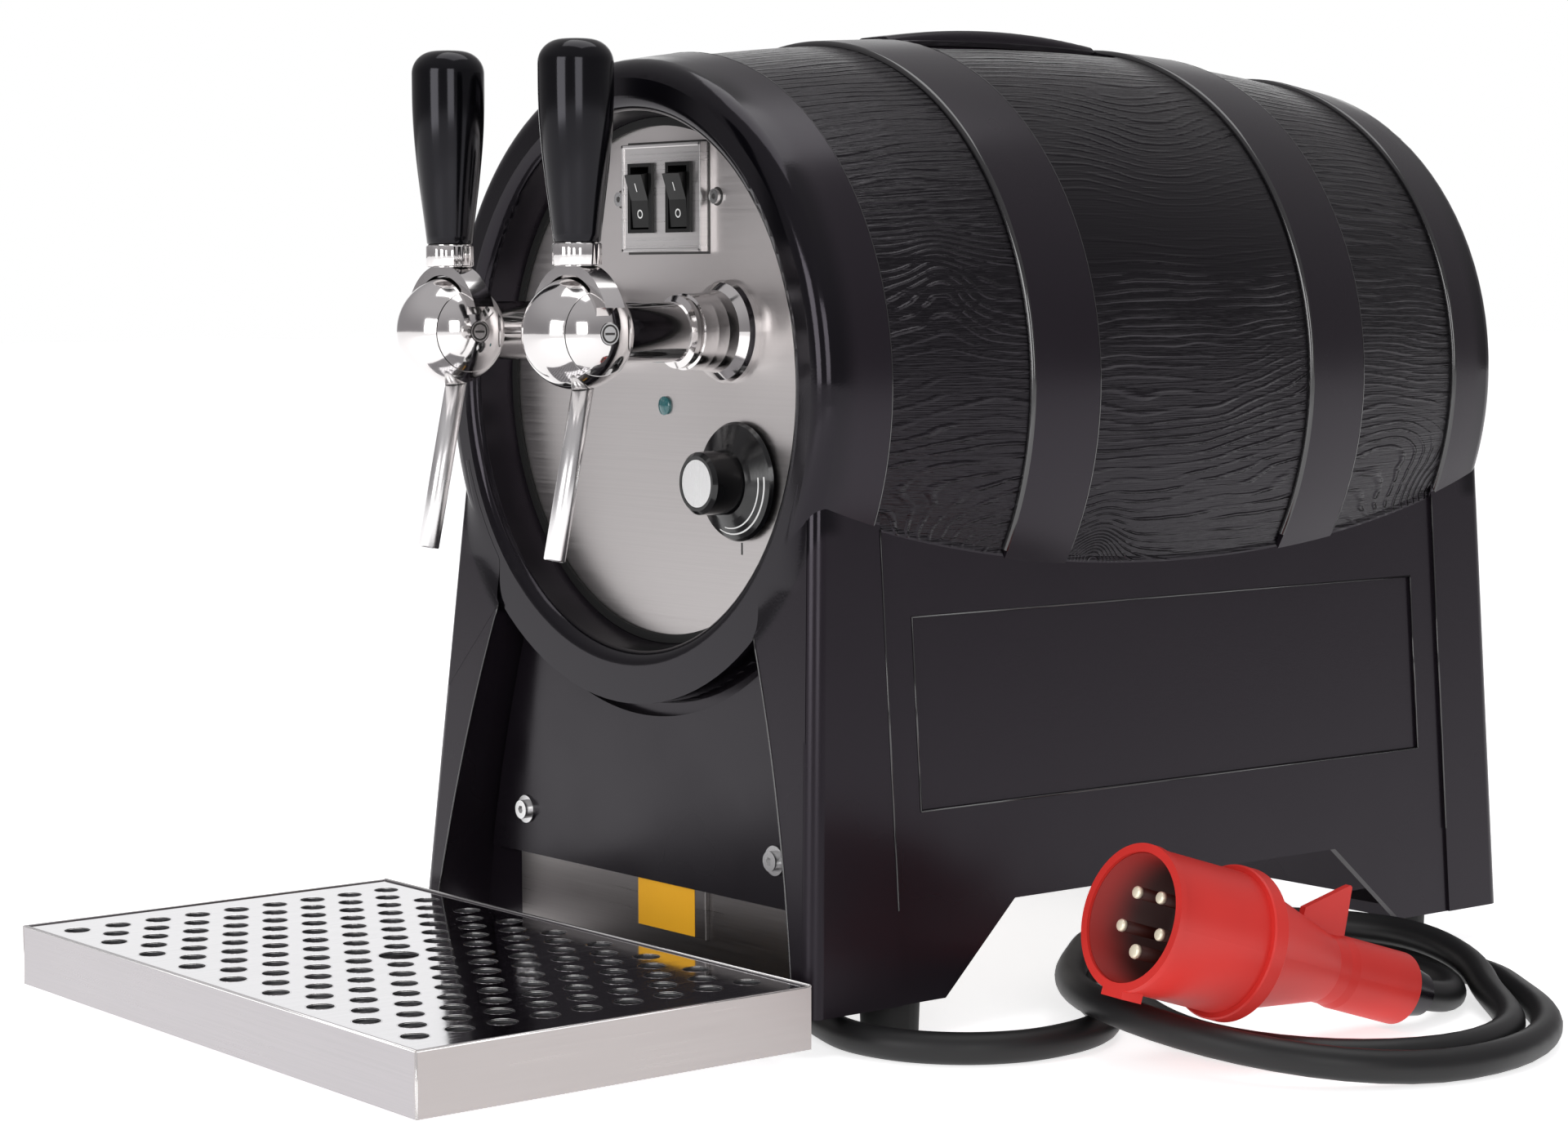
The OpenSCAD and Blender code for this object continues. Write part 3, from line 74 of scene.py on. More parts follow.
def makeCamera():
    yaw, pitch, roll = (math.radians(view[k]) for k in ("yaw", "pitch", "roll"))
    ahead = Vector((-math.sin(yaw) * math.cos(pitch), math.cos(yaw) * math.cos(pitch), -math.sin(pitch)))
    right = Vector((math.cos(yaw), math.sin(yaw), 0))
    up = right.cross(ahead)
    turnedRight = math.cos(roll) * right + math.sin(roll) * up
    turnedUp = math.cos(roll) * up - math.sin(roll) * right
    data = bpy.data.cameras.new("camera")
    data.sensor_width = view["sensor"]
    data.lens = view["focalPx"] / view["imageW"] * view["sensor"]
    data.clip_start, data.clip_end = view["clip"]
    cam = addObject("camera", data)
    turned = Matrix((turnedRight, turnedUp, -ahead)).transposed()
    cam.matrix_world = move(view["place"]) @ turned.to_4x4()
    scene.camera = cam


makeCamera()
print("camera made")


# mesh helpers, all in millimetres until the mesh is finished
def finishMesh(bm, name, body, material, smooth=True, facing=None):
    # an open skin is turned to the side that it faces, a closed one outwards
    mesh = bpy.data.meshes.new(name)
    bmesh.ops.recalc_face_normals(bm, faces=bm.faces)
    if facing:
        turned = [f for f in bm.faces if f.normal.dot(Vector(facing(f.calc_center_median()))) < 0]
        bmesh.ops.reverse_faces(bm, faces=turned)
    bmesh.ops.scale(bm, vec=(mm, mm, mm), verts=bm.verts)
    bm.to_mesh(mesh)
    bm.free()
    for p in mesh.polygons:
        p.use_smooth = smooth
    piece = addObject(name, mesh)
    mesh.materials.append(material)
    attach(piece, body)
    return piece


def toFront(centre):
    return 0, -1, 0


def turnsOf(count):
    return [2 * math.pi * k / count for k in range(count)]


def joinRings(bm, rings, closed=True, caps=False):
    count = len(rings[0])
    for low, high in zip(rings[:-1], rings[1:]):
        for k in range(count if closed else count - 1):
            after = (k + 1) % count
            bm.faces.new((low[k], low[after], high[after], high[k]))
    if caps:
        bm.faces.new(rings[0][::-1])
        bm.faces.new(rings[-1])


def sweep(bm, path, radius, sides):
    rings = []
    across = None
    for i, p in enumerate(path):
        along = (path[min(i + 1, len(path) - 1)] - path[max(i - 1, 0)]).normalized()
        if across is None:
            across = along.cross(Vector((0, 0, 1))).normalized()
        across = (across - along * across.dot(along)).normalized()
        other = along.cross(across)
        rings.append([bm.verts.new(p + radius * (math.cos(t) * across + math.sin(t) * other))
                      for t in turnsOf(sides)])
    joinRings(bm, rings, caps=True)


def smoothLine(points, steps):
    out = []
    for i in range(len(points) - 1):
        p0, p1 = points[max(i - 1, 0)], points[i]
        p2, p3 = points[i + 1], points[min(i + 2, len(points) - 1)]
        for k in range(steps):
            t = k / steps
            out.append(0.5 * (2 * p1 + (p2 - p0) * t + (2 * p0 - 5 * p1 + 4 * p2 - p3) * t * t
                              + (3 * p1 - p0 - 3 * p2 + p3) * t * t * t))
    return out + [points[-1]]


def lathe(bm, profile, sides, place, ripple=lambda t: 0):
    # rings of a turned piece standing on z; ripple is added to the radius at each turn
    rings = []
    for r, z in profile:
        reach = [(r + ripple(t), t) for t in turnsOf(sides)]
        rings.append([bm.verts.new(place @ Vector((q * math.cos(t), q * math.sin(t), z))) for q, t in reach])
    joinRings(bm, rings, caps=True)


def box(bm, low, high, bevel):
    made = bmesh.ops.create_cube(bm, size=1.0)
    low, high = Vector(low), Vector(high)
    bmesh.ops.scale(bm, vec=high - low, verts=made["verts"])
    bmesh.ops.translate(bm, vec=(low + high) / 2, verts=made["verts"])
    edges = {e for v in made["verts"] for e in v.link_edges}
    bmesh.ops.bevel(bm, geom=list(edges), offset=bevel, offset_type="OFFSET", segments=2, profile=0.5,
                    affect="EDGES", material=-1)


def flatArc(bm, inner, outer, start, stop, steps, place, height):
    # a thin flat arc, for printed marks and painted shadows; height gives the surface's height at a radius
    pairs = []
    for k in range(steps + 1):
        t = math.radians(start + (stop - start) * k / steps)
        pairs.append([bm.verts.new(place @ Vector((r * math.cos(t), r * math.sin(t), height(r))))
                      for r in (inner, outer)])
    for (a, b), (c, d) in zip(pairs[:-1], pairs[1:]):
        bm.faces.new((a, b, d, c))


def flatBox(bm, low, high, place, height):
    # a thin flat rectangle, for printed marks and painted shadows
    (x0, y0), (x1, y1) = low, high
    corners = ((x0, y0), (x1, y0), (x1, y1), (x0, y1))
    bm.faces.new([bm.verts.new(place @ Vector((x, y, height))) for x, y in corners])


# shader helpers
class Sock:
    def __init__(self, tree, out):
        self.tree = tree
        self.out = out

    def node(self, kind, ins=(), out=0, **settings):
        made = self.tree.nodes.new(kind)
        for k, v in settings.items():
            setattr(made, k, v)
        for k, v in dict(ins).items():
            if isinstance(v, Sock):
                self.tree.links.new(v.out, made.inputs[k])
            else:
                made.inputs[k].default_value = v
        return Sock(self.tree, made.outputs[out])

    def math(self, how, *others):
        return self.node("ShaderNodeMath", dict(enumerate((self,) + others)), operation=how)

    def __add__(self, o):
        return self.math("ADD", o)

    def __radd__(self, o):
        return self.math("ADD", o)

    def __sub__(self, o):
        return self.math("SUBTRACT", o)

    def __rsub__(self, o):
        return self.node("ShaderNodeMath", {0: o, 1: self}, operation="SUBTRACT")

    def __mul__(self, o):
        return self.math("MULTIPLY", o)

    def __truediv__(self, o):
        return self.math("DIVIDE", o)

    def ramp(self, low, high, a=0.0, b=1.0):
        return self.node("ShaderNodeMapRange", {"Value": self, "From Min": low, "From Max": high,
                                                "To Min": a, "To Max": b}, interpolation_type="SMOOTHSTEP")

    def noise(self, scale, detail=2.0, rough=0.5):
        return self.node("ShaderNodeTexNoise", {"Vector": self, "Scale": scale, "Detail": detail,
                                                "Roughness": rough})

    def stretch(self, scales, detail=2.0, rough=0.5):
        return self.node("ShaderNodeMapping", {"Vector": self, "Scale": scales}).noise(1.0, detail, rough)

    def axis(self, i):
        return self.node("ShaderNodeSeparateXYZ", {0: self}, out=i)

    def dot(self, way):
        return self.axis(0) * way[0] + self.axis(1) * way[1] + self.axis(2) * way[2]

    def point(self, y, z):
        return self.node("ShaderNodeCombineXYZ", {0: self, 1: y, 2: z})

    def dome(self, middle, width):
        away = (self - middle) / width
        return (1.0 + away * away).math("POWER", -2.0)


def mixColours(factor, a, b):
    # a mix node takes its two colours at 6 and 7 and gives the mixed one at 2
    ends = {k: v if isinstance(v, Sock) else (*v, 1) for k, v in ((6, a), (7, b))}
    return factor.node("ShaderNodeMix", {0: factor, **ends}, out=2, data_type="RGBA")


def newMaterial(name, fixed):
    made = bpy.data.materials.new(name)
    made.use_nodes = True
    tree = made.node_tree
    shader = tree.nodes["Principled BSDF"]
    for k, v in fixed.items():
        shader.inputs[k].default_value = (*v, 1) if k in ("Base Color", "Specular Tint") else v
    here = Sock(tree, tree.nodes.new("ShaderNodeTexCoord").outputs["Object"])
    made.diffuse_color = (*fixed["Base Color"], 1)
    return made, shader, here


def link(shader, name, sock):
    sock.tree.links.new(sock.out, shader.inputs[name])


def bump(shader, height, distance, strength=1.0):
    made = height.node("ShaderNodeBump", {"Height": height, "Distance": distance, "Strength": strength})
    link(shader, "Normal", made)


def scaled(colour, k):
    return tuple(c * k for c in colour)


# a broad noise shades each surface, and fine noise or brushed lines give its relief
texture = {"broad": 14.0, "dark": 0.9, "light": 1.08, "relief": 0.5,
           "steelBroad": 9.0, "lineDark": 0.92, "sideShadeTint": (0.95, 0.92, 0.88), "paintedTopLight": 1.25,
           "lineRelief": 0.6}


def plain(name, colour, rough, spread=0.06, grain=900.0, lift=0.00003, metal=0.0, shine=0.5,
          tint=(1.0, 1.0, 1.0), coat=0.0):
    made, shader, here = newMaterial(name, {
        "Base Color": colour, "Roughness": rough, "Metallic": metal, "Specular IOR Level": shine,
        "Specular Tint": tint, "Coat Weight": coat})
    broad = here.noise(texture["broad"], 3.0)
    link(shader, "Roughness", broad.ramp(0.3, 0.7, rough - spread, rough + spread))
    dark, light = (scaled(colour, texture[k]) for k in ("dark", "light"))
    link(shader, "Base Color", mixColours(broad.ramp(0.3, 0.7), dark, light))
    bump(shader, here.noise(grain, 3.0, 0.6), lift, texture["relief"])
    return made


def brushed(name, colour, rough, scales, lift=0.000012, sides=None, upper=None):
    # beyond x = sides the tone is darker and warmer, a painted shade on the side walls, and between the two
    # heights of the band it gets lighter, a painted light on the upper part
    made, shader, here = newMaterial(name, {"Base Color": colour, "Roughness": rough, "Metallic": 1.0})
    lines = here.stretch(scales, 4.0, 0.65)
    broad = here.noise(texture["steelBroad"])
    link(shader, "Roughness", (lines * 0.22 + broad * 0.1).ramp(0.08, 0.24, rough - 0.05, rough + 0.07))
    tone = mixColours(lines.ramp(0.3, 0.7), scaled(colour, texture["lineDark"]), colour)
    if sides:
        # painted shade: the side walls beyond x = sides are darker and warmer
        paintedSideShade = here.axis(0).math("ABSOLUTE").ramp(sides - 0.001, sides)
        tone = mixColours(paintedSideShade, tone, tuple(c * k for c, k in zip(colour, texture["sideShadeTint"])))
    if upper:
        # painted light: between the two heights the tone is lighter
        tone = mixColours(here.axis(2).ramp(*upper), tone, scaled(colour, texture["paintedTopLight"]))
    link(shader, "Base Color", tone)
    bump(shader, lines, lift, texture["lineRelief"])
    return made


# housing plastic: smooth hoops and glossy rims, grained staves between them
housingLow, housingHigh = nodeBox("housing")
barrel = {"axisZ": 0.255, "half": 0.194, "midR": 0.1455, "sag": 0.0155, "drop": 0.002, "hoopStart": 0.062,
          "hoopEnd": 0.095, "bandStart": 0.163, "edge": 0.0009, "skin": (0.0009, 0.0016),
          "rimS": (0.176, 0.186), "rimInner": (0.1, 0.104), "rimOuter": (0.134, 0.137)}
barrel["midY"] = housingHigh[1] * mm - barrel["half"]
# the stave grain's grooves and ridges are coloured as painted shade and painted highlight
plastic = {"smooth": (0.0085, 0.0066, 0.009), "rim": (0.0018, 0.0016, 0.0024),
           "grooveShade": (0.0008, 0.0007, 0.001), "ridge": (0.0042, 0.0036, 0.0046), "rough": (0.24, 0.29),
           "staveGloss": 0.07, "rimGloss": 0.13}
# each bend of the grain: middle and width along the axis in metres and round it in degrees, lines added there
grain = {"lineDeg": 1.75, "flat": 0.0025, "waves": (16.0, 7.0, 1.0), "waveLines": (35.0, 90.0, 4.5, 9.0),
         "ripple": (90.0, 26.0, 1.0), "rippleLines": 0.8, "risingS": (0.0, 0.075), "risingLines": 4.0,
         "risingTurn": (100.0, 26.0), "ridge": (0.02, 0.24), "fine": (1100.0, 26.0, 1.0), "fineHeight": 0.6,
         "patches": (22.0, 11.0, 1.0), "patchRange": (0.32, 0.62, 0.25, 1.0), "breaks": (260.0, 15.0, 1.0),
         "breakRange": (0.36, 0.6, 0.12, 1.0), "unbroken": (0.15, 0.6), "bareTurn": (63.0, 15.0),
         "bareRidge": 0.95, "bareFine": 0.7, "topFade": (6.0, 26.0, 0.35, 1.0),
         "sideHeight": (25.0, 62.0, 1.9, 1.2), "height": 0.00056, "skin": 1100.0, "skinHeight": 0.000012,
         "bends": {
             "sagging": (0.012, 0.06, 46.0, 26.0, -4.0), "knot": (-0.134, 0.02, 73.0, 12.0, 3.2),
             "frontArch": (-0.172, 0.062, 131.0, 24.0, -20.0), "rearArch": (0.172, 0.05, 118.0, 20.0, -14.0),
             "smallKnot": (-0.047, 0.017, 121.0, 8.0, 9.0)}}


def makeHousing():
    made, shader, here = newMaterial("housingPlastic", {
        "Base Color": plastic["smooth"], "Roughness": 0.3, "Specular IOR Level": 0.31,
        "Specular Tint": (0.95, 0.87, 1.0)})
    x, y, z = (here.axis(i) for i in range(3))
    up = z - barrel["axisZ"]
    s = y - barrel["midY"]
    along = s.math("ABSOLUTE")
    turn = x.math("ABSOLUTE").math("ARCTAN2", up) * (180 / math.pi)
    radius = (x * x + up * up).math("SQRT")
    share = along / barrel["half"]
    skinR = barrel["midR"] - barrel["drop"] - share * share * barrel["sag"]
    edge = barrel["edge"]
    inMiddle = 1.0 - along.ramp(barrel["hoopStart"] - edge, barrel["hoopStart"])
    inOuter = along.ramp(barrel["hoopEnd"], barrel["hoopEnd"] + edge) \
        * (1.0 - along.ramp(barrel["bandStart"] - edge, barrel["bandStart"]))
    onSkin = 1.0 - (radius - skinR).math("ABSOLUTE").ramp(*barrel["skin"])
    staves = (inMiddle + inOuter) * onSkin
    # lines along the staves, bent by slow waves, knots and arches
    spread = (x.math("SIGN") * turn * grain["flat"]).point(y, 0.0)
    waves = spread.stretch(grain["waves"]) - 0.5
    ripple = spread.stretch(grain["ripple"]) - 0.5
    rising = s.ramp(*grain["risingS"]) * turn.dome(*grain["risingTurn"])
    level = turn / grain["lineDeg"] + waves * turn.ramp(*grain["waveLines"]) + ripple * grain["rippleLines"] \
        + rising * grain["risingLines"]
    bends = {}
    for name, (middleS, widthS, middleTurn, widthTurn, lines) in grain["bends"].items():
        bends[name] = s.dome(middleS, widthS) * turn.dome(middleTurn, widthTurn)
        level = level + bends[name] * lines
    ridge = 1.0 - (level.math("FRACT") - 0.5).math("ABSOLUTE").ramp(*grain["ridge"])
    # the ridges are weak in patches, broken along the lines and nearly gone in one place on the middle staves
    fineLines = spread.stretch(grain["fine"], 3.0, 0.6)
    patches = spread.stretch(grain["patches"]).ramp(*grain["patchRange"])
    bare = turn.dome(*grain["bareTurn"]) * inMiddle
    breaks = spread.stretch(grain["breaks"]).ramp(*grain["breakRange"])
    breaks = breaks.math("MAXIMUM", (bends["frontArch"] + bends["rearArch"]).ramp(*grain["unbroken"]))
    strength = patches * breaks * (1.0 - bare * grain["bareRidge"]) * turn.ramp(*grain["topFade"])
    relief = ridge * strength + fineLines * (1.0 - bare * grain["bareFine"]) * grain["fineHeight"]
    relief = relief * turn.ramp(*grain["sideHeight"])
    skin = here.noise(grain["skin"])
    bump(shader, relief * staves * grain["height"] + skin * grain["skinHeight"], 1.0)
    rim = along.ramp(*barrel["rimS"]) * radius.ramp(*barrel["rimInner"]) \
        * (1.0 - radius.ramp(*barrel["rimOuter"]))
    rough = here.noise(11.0, 3.0).ramp(0.3, 0.7, *plastic["rough"])
    link(shader, "Roughness", rough - staves * plastic["staveGloss"] - rim * plastic["rimGloss"])
    # the grain's relief is real; in colour its grooves are painted darker as painted shade and its ridges
    # lighter as a painted highlight
    dark = mixColours(ridge * strength, plastic["grooveShade"], plastic["ridge"])
    tone = mixColours(rim, plastic["smooth"], plastic["rim"])
    link(shader, "Base Color", mixColours(staves, tone, dark))
    return made


# one look for each slot of the record, and extra looks for single pieces
look = {
    "housing_black": makeHousing(),
    "panel_black": plain("panelPlastic", (0.0055, 0.0043, 0.006), 0.22, shine=0.3, tint=(0.95, 0.88, 1.0)),
    "switch_black": plain("switchPlastic", (0.003, 0.003, 0.003), 0.3, shine=0.3),
    "knob_black": plain("knobPlastic", (0.004, 0.004, 0.0045), 0.14, 0.03),
    "handle_black": plain("handleGloss", (0.0015, 0.0015, 0.002), 0.13, 0.02, lift=0.000002, shine=0.27,
                          tint=(0.92, 0.9, 1.0)),
    "rubber_black": plain("rubber", (0.008, 0.008, 0.008), 0.6, shine=0.3),
    "cable_black": plain("cableSheath", (0.008, 0.008, 0.0085), 0.46, 0.06, 1400.0, 0.00004, shine=0.4),
    "steel_brushed": brushed("brushedSteel", (0.5, 0.475, 0.46), 0.3, (14.0, 14.0, 1300.0)),
    "steel_mirror": brushed("mirrorSteel", (0.8, 0.79, 0.81), 0.07, (1200.0, 14.0, 14.0), 0.0000006),
    "tap_chrome": plain("tapChrome", (0.7, 0.68, 0.675), 0.09, 0.025, lift=0.0000005, metal=1.0),
    "screw_steel": plain("screwSteel", (0.66, 0.66, 0.66), 0.2, 0.05, lift=0.000004, metal=1.0),
    "knob_aluminium": brushed("spunAluminium", (0.78, 0.78, 0.78), 0.26, (900.0, 40.0, 40.0)),
    "inner_brass": plain("brass", (0.72, 0.55, 0.29), 0.3, 0.08, metal=1.0),
    "pin_brass": plain("pinBrass", (0.97, 0.9, 0.7), 0.3, 0.05, lift=0.000006, metal=0.35),
    "inner_cream": plain("creamPlastic", (0.72, 0.69, 0.6), 0.45),
    "lamp_teal": plain("lampLens", (0.01, 0.1, 0.11), 0.14, 0.03, lift=0.000004, coat=0.6),
    "plug_red": plain("plugRed", (0.6, 0.03, 0.024), 0.4, 0.05, 700.0, shine=0.35),
}
extra = {
    # the front plate's upper part gets a painted light
    "plateSteel": brushed("plateSteel", (0.51, 0.485, 0.48), 0.33, (9.0, 9.0, 1100.0), 0.000003,
                          upper=(0.2, 0.34)),
    "switchSteel": brushed("switchSteel", (0.75, 0.73, 0.725), 0.3, (9.0, 9.0, 1100.0), 0.000003),
    "printWhite": plain("printWhite", (0.78, 0.78, 0.77), 0.5, 0.02),
    "printBlack": plain("printBlack", (0.01, 0.01, 0.01), 0.5, 0.02),
    "labelAmber": plain("labelAmber", (1.0, 0.5, 0.025), 0.5, 0.03, shine=0.25),
    # the tray's side walls get a painted shade
    "traySteel": brushed("traySteel", (0.46, 0.44, 0.452), 0.3, (14.0, 14.0, 1300.0), sides=0.1496),
    "edgePlastic": plain("edgePlastic", (0.004, 0.0035, 0.0045), 0.13, 0.02, lift=0.000001, shine=1.0),
    # a darker copy of the brushed steel, a painted shade on the bracket behind the tray
    "shadedBracketSteel": brushed("shadedBracketSteel", (0.3, 0.285, 0.28), 0.3, (14.0, 14.0, 1300.0)),
    "spoutSteel": plain("spoutSteel", (0.8, 0.79, 0.79), 0.3, 0.04, lift=0.000001, metal=1.0),
    # painted shade on the walls of the grid's holes
    "holeShadeSteel": plain("holeShadeSteel", (0.07, 0.07, 0.075), 0.4, 0.04, metal=0.6),
    # a brighter copy of the steel, a painted highlight on rounded edges
    "highlightEdgeSteel": plain("highlightEdgeSteel", (0.9, 0.89, 0.88), 0.24, 0.03, lift=0.000001, metal=1.0),
    # painted shade on the pin shafts in the depth of the plug
    "shadedPinShaft": plain("shadedPinShaft", (0.035, 0.006, 0.004), 0.5, 0.04, shine=0.3),
    # dark slots of the pivots, and painted shadows round the switch plate and its screws
    "slotAndShadowDark": plain("slotAndShadowDark", (0.03, 0.028, 0.027), 0.4, 0.04),
}
slotOf = {s["node"]: s["material_slot"] for s in frame["record"]["subparts"]}
ownLook = {"front_plate": "plateSteel", "switch_plate": "switchSteel", "drip_tray": "traySteel"}
for name, obj in nodes.items():
    obj.data.materials.clear()
    obj.data.materials.append(extra[ownLook[name]] if name in ownLook else look[slotOf[name]])
print("materials made")


# cable: one line from the gland through the lead and the coil to the plug
# its coil is measured in degrees; swells and the rest are given as a size in millimetres, then where they act
cable = {"diameter": 12.5, "rest": 6.55, "over": 13.1, "sides": 20, "leadSteps": 8, "coilStep": 5, "tail": 2,
         "lead": [(0, -51.5, 26), (20, -51.5, 26), (42, -53, 21.5), (66, -60, 13), (91, -71, 7.05),
                  (116, -82, 6.55), (139, -87, 6.55), (162, -82, 6.55), (180.5, -67.5, 6.55),
                  (191, -47, 6.55), (192, -24, 6.55), (186.5, -4, 6.55), (175, 11.5, 6.55), (157, 24, 6.55)],
         "centre": (184.6, 110), "radius": 88, "start": 235, "turn": 955, "lean": 17.5,
         "swells": ((59, 180, 375), (46, 545, 706)), "tighten": (12.8, 395, 520), "spiral": (18, 640),
         "climb": (255, 322), "descend": (490, 580), "rise": (9, 900)}
# inside of the plug: lining of its mouth, darker in the depth as painted shade, and five pins, the first one
# thicker
plug = {"floor": 102.1, "lip": 140.8, "r": 24.95, "wall": 0.4, "base": 1.2, "core": 0.5,
        "depthShade": (0.035, 0.006, 0.004), "edge": (0.26, 0.012, 0.009), "shadeFade": (0.116, 0.139),
        "pins": 5, "firstPin": 270, "pinCircle": 12, "pinTip": 137, "pinR": 2.4, "thicker": 0.4,
        "shaftGap": 0.1, "shaftEnd": 1.5, "tipProfile": ((0, -2), (0, -0.8), (-0.3, -0.3), (-1, 0))}


def coilPoint(t):
    def share(a, b):
        return min(max((t - a) / (b - a), 0), 1)

    def ease(a, b):
        return (1 - math.cos(math.pi * share(a, b))) / 2

    def swell(a, b):
        return (1 - math.cos(2 * math.pi * share(a, b))) / 2

    size, *where = cable["tighten"]
    r = cable["radius"] + sum(out * swell(a, b) for out, a, b in cable["swells"]) - size * ease(*where)
    size, start = cable["spiral"]
    r -= size * share(start, cable["turn"]) ** 2
    size, start = cable["rise"]
    z = cable["rest"] + cable["over"] * (ease(*cable["climb"]) - ease(*cable["descend"]))
    z += size * share(start, cable["turn"]) ** 2
    a = math.radians(cable["start"] - t)
    return Vector((cable["centre"][0] + r * math.cos(a), cable["centre"][1] + r * math.sin(a), z))


def makePlugInside(place, end, root):
    r, wall, floor, lip = (plug[k] for k in ("r", "wall", "floor", "lip"))
    base = floor + plug["base"]
    bm = bmesh.new()
    lathe(bm, [(r, floor), (r, lip), (r - wall, lip), (r - wall, base), (plug["core"], base)], 64, place)
    depthShade, shader, here = newMaterial("plugLining", {"Base Color": plug["depthShade"], "Roughness": 0.5,
                                                    "Specular IOR Level": 0.3})
    depth = here.dot(end) - end.dot(root) * mm
    # painted shade: the lining darkens from its red edge into the depth of the mouth
    link(shader, "Base Color", mixColours(depth.ramp(*plug["shadeFade"]), plug["depthShade"], plug["edge"]))
    lining = finishMesh(bm, "plugLining", "machine", depthShade)
    # the pins are dark in the depth, a painted shade on their shafts, and bright at the tips
    shafts, tips = bmesh.new(), bmesh.new()
    circle, tip = plug["pinCircle"], plug["pinTip"]
    for k in range(plug["pins"]):
        turn = math.radians(plug["firstPin"] + 360 / plug["pins"] * k)
        stand = place @ move((circle * math.cos(turn), circle * math.sin(turn), 0))
        r = plug["pinR"] + (plug["thicker"] if k == 0 else 0)
        lathe(shafts, [(r - plug["shaftGap"], z) for z in (floor, tip - plug["shaftEnd"])], 24, stand)
        lathe(tips, [(r + dr, tip + dz) for dr, dz in plug["tipProfile"]], 24, stand)
    shafts = finishMesh(shafts, "pinShafts", "machine", extra["shadedPinShaft"])
    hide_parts("plug_pins")
    tips = finishMesh(tips, "pinTips", "machine", look["pin_brass"])
    return [lining, shafts, tips]


def makeCable():
    coil = [coilPoint(t) for t in range(0, cable["turn"] + 1, cable["coilStep"])]
    lead = smoothLine([Vector(p) for p in cable["lead"]] + [coil[0]], cable["leadSteps"])
    last = coilPoint(cable["turn"]) - coilPoint(cable["turn"] - 1)
    way = math.atan2(last.x, -last.y)
    lean = math.radians(cable["lean"])
    end = Vector((math.cos(lean) * math.sin(way), -math.cos(lean) * math.cos(way), math.sin(lean)))
    path = lead + coil[1:] + [coil[-1] + cable["tail"] * end]
    bm = bmesh.new()
    sweep(bm, path, cable["diameter"] / 2, cable["sides"])
    piece = finishMesh(bm, "cable", "machine", look["cable_black"])
    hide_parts("cable_lead", "cable_coil")
    place = move(path[-1]) @ Matrix.Rotation(way, 4, "Z") @ spin(90 - cable["lean"], "X")
    inside = makePlugInside(place, end, path[-1])
    path = [p * mm for p in path]
    length = sum((b - a).length for a, b in zip(path[:-1], path[1:]))
    print("cable length", round(length, 3))


makeCable()


# tap handles with a fluted ferrule under each
tap = {"r": 14.75, "footR": 9.3, "round": 9.5, "chamfer": 0.7, "swell": 1.12, "power": 1.15, "domed": 0.97,
       "tipR": 2.0, "tipGap": 0.02, "ferruleZ": 26.2, "ferruleH": 8.6, "ferruleR": 9.4, "ferruleRound": 0.5,
       "ferruleEndR": 9.05, "flutes": 14, "fluteDepth": 0.28}


def atTap(body, dy=0, dz=0):
    x, y, z = jointAt["tap_" + body]
    return move((x, y + dy, z + dz))


def makeHandles():
    low, high = nodeBox("tap_handle_left")
    handleZ, handleLen = low[2] - jointAt["tap_left"][2], high[2] - low[2]
    foot, chamfer = tap["footR"], tap["chamfer"]
    top = handleLen - tap["round"]
    profile = [(foot - chamfer, 0.0), (foot, chamfer)]
    for k in range(1, 25):
        u = k / 24
        grown = math.sin(math.pi / 2 * min(u * tap["swell"], 1)) ** tap["power"]
        profile.append((foot + (tap["r"] - foot) * grown, chamfer + (top - chamfer) * u))
    for k in range(1, 15):
        t = math.pi / 2 * k / 14
        profile.append((tap["r"] - tap["round"] * (1 - math.cos(t)),
                        top + tap["round"] * math.sin(t) * tap["domed"]))
    profile.append((tap["tipR"], handleLen - tap["tipGap"]))
    r, endR, h, bend = (tap["ferrule" + k] for k in ("R", "EndR", "H", "Round"))
    ferrule = [(endR, 0), (r, bend), (r, h - bend), (endR, h)]
    for body in bothSides:
        bm = bmesh.new()
        lathe(bm, profile, 64, atTap(body, dz=handleZ))
        piece = finishMesh(bm, "handle" + body.title(), "lever_" + body, look["handle_black"])
        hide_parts("tap_handle_" + body)

        bm = bmesh.new()
        lathe(bm, ferrule, tap["flutes"] * 8, atTap(body, dz=tap["ferruleZ"]),
              lambda t: tap["fluteDepth"] * abs(math.cos(tap["flutes"] / 2 * t)))
        piece = finishMesh(bm, "ferrule" + body.title(), "lever_" + body, look["tap_chrome"])


# ends of the pivots: a dark ring and a slot on each face of the balls
pivot = {"ring": (2.9, 3.6), "slot": (0.45, 2.2), "lift": 0.12}


def makePivots():
    w, h = pivot["slot"]
    for body in bothSides:
        low, high = nodeBox("tap_pivot_" + body)
        middle, half = (low[0] + high[0]) / 2, (high[0] - low[0]) / 2
        bm = bmesh.new()
        for e in (-1, 1):
            place = atTap(body) @ spin(90 * e, "Y") @ move((0, 0, half))
            flatArc(bm, *pivot["ring"], 0, 360, 40, place, lambda r: pivot["lift"])
            flatBox(bm, (-w, -h), (w, h), place, pivot["lift"])
        piece = finishMesh(bm, "pivotMarks" + body.title(), "lever_" + body, extra["slotAndShadowDark"], False,
                           lambda centre: (centre.x - middle, 0, 0))


makeHandles()
makePivots()
print("handles made")


# spouts: smooth tubes in place of the faceted ones
spout = {"lean": 12, "outer": 4.25, "inner": 3.25, "rootY": 4.5, "rootZ": -11, "end": 78.72, "bore": 20,
         "round": 0.4, "core": 0.3}


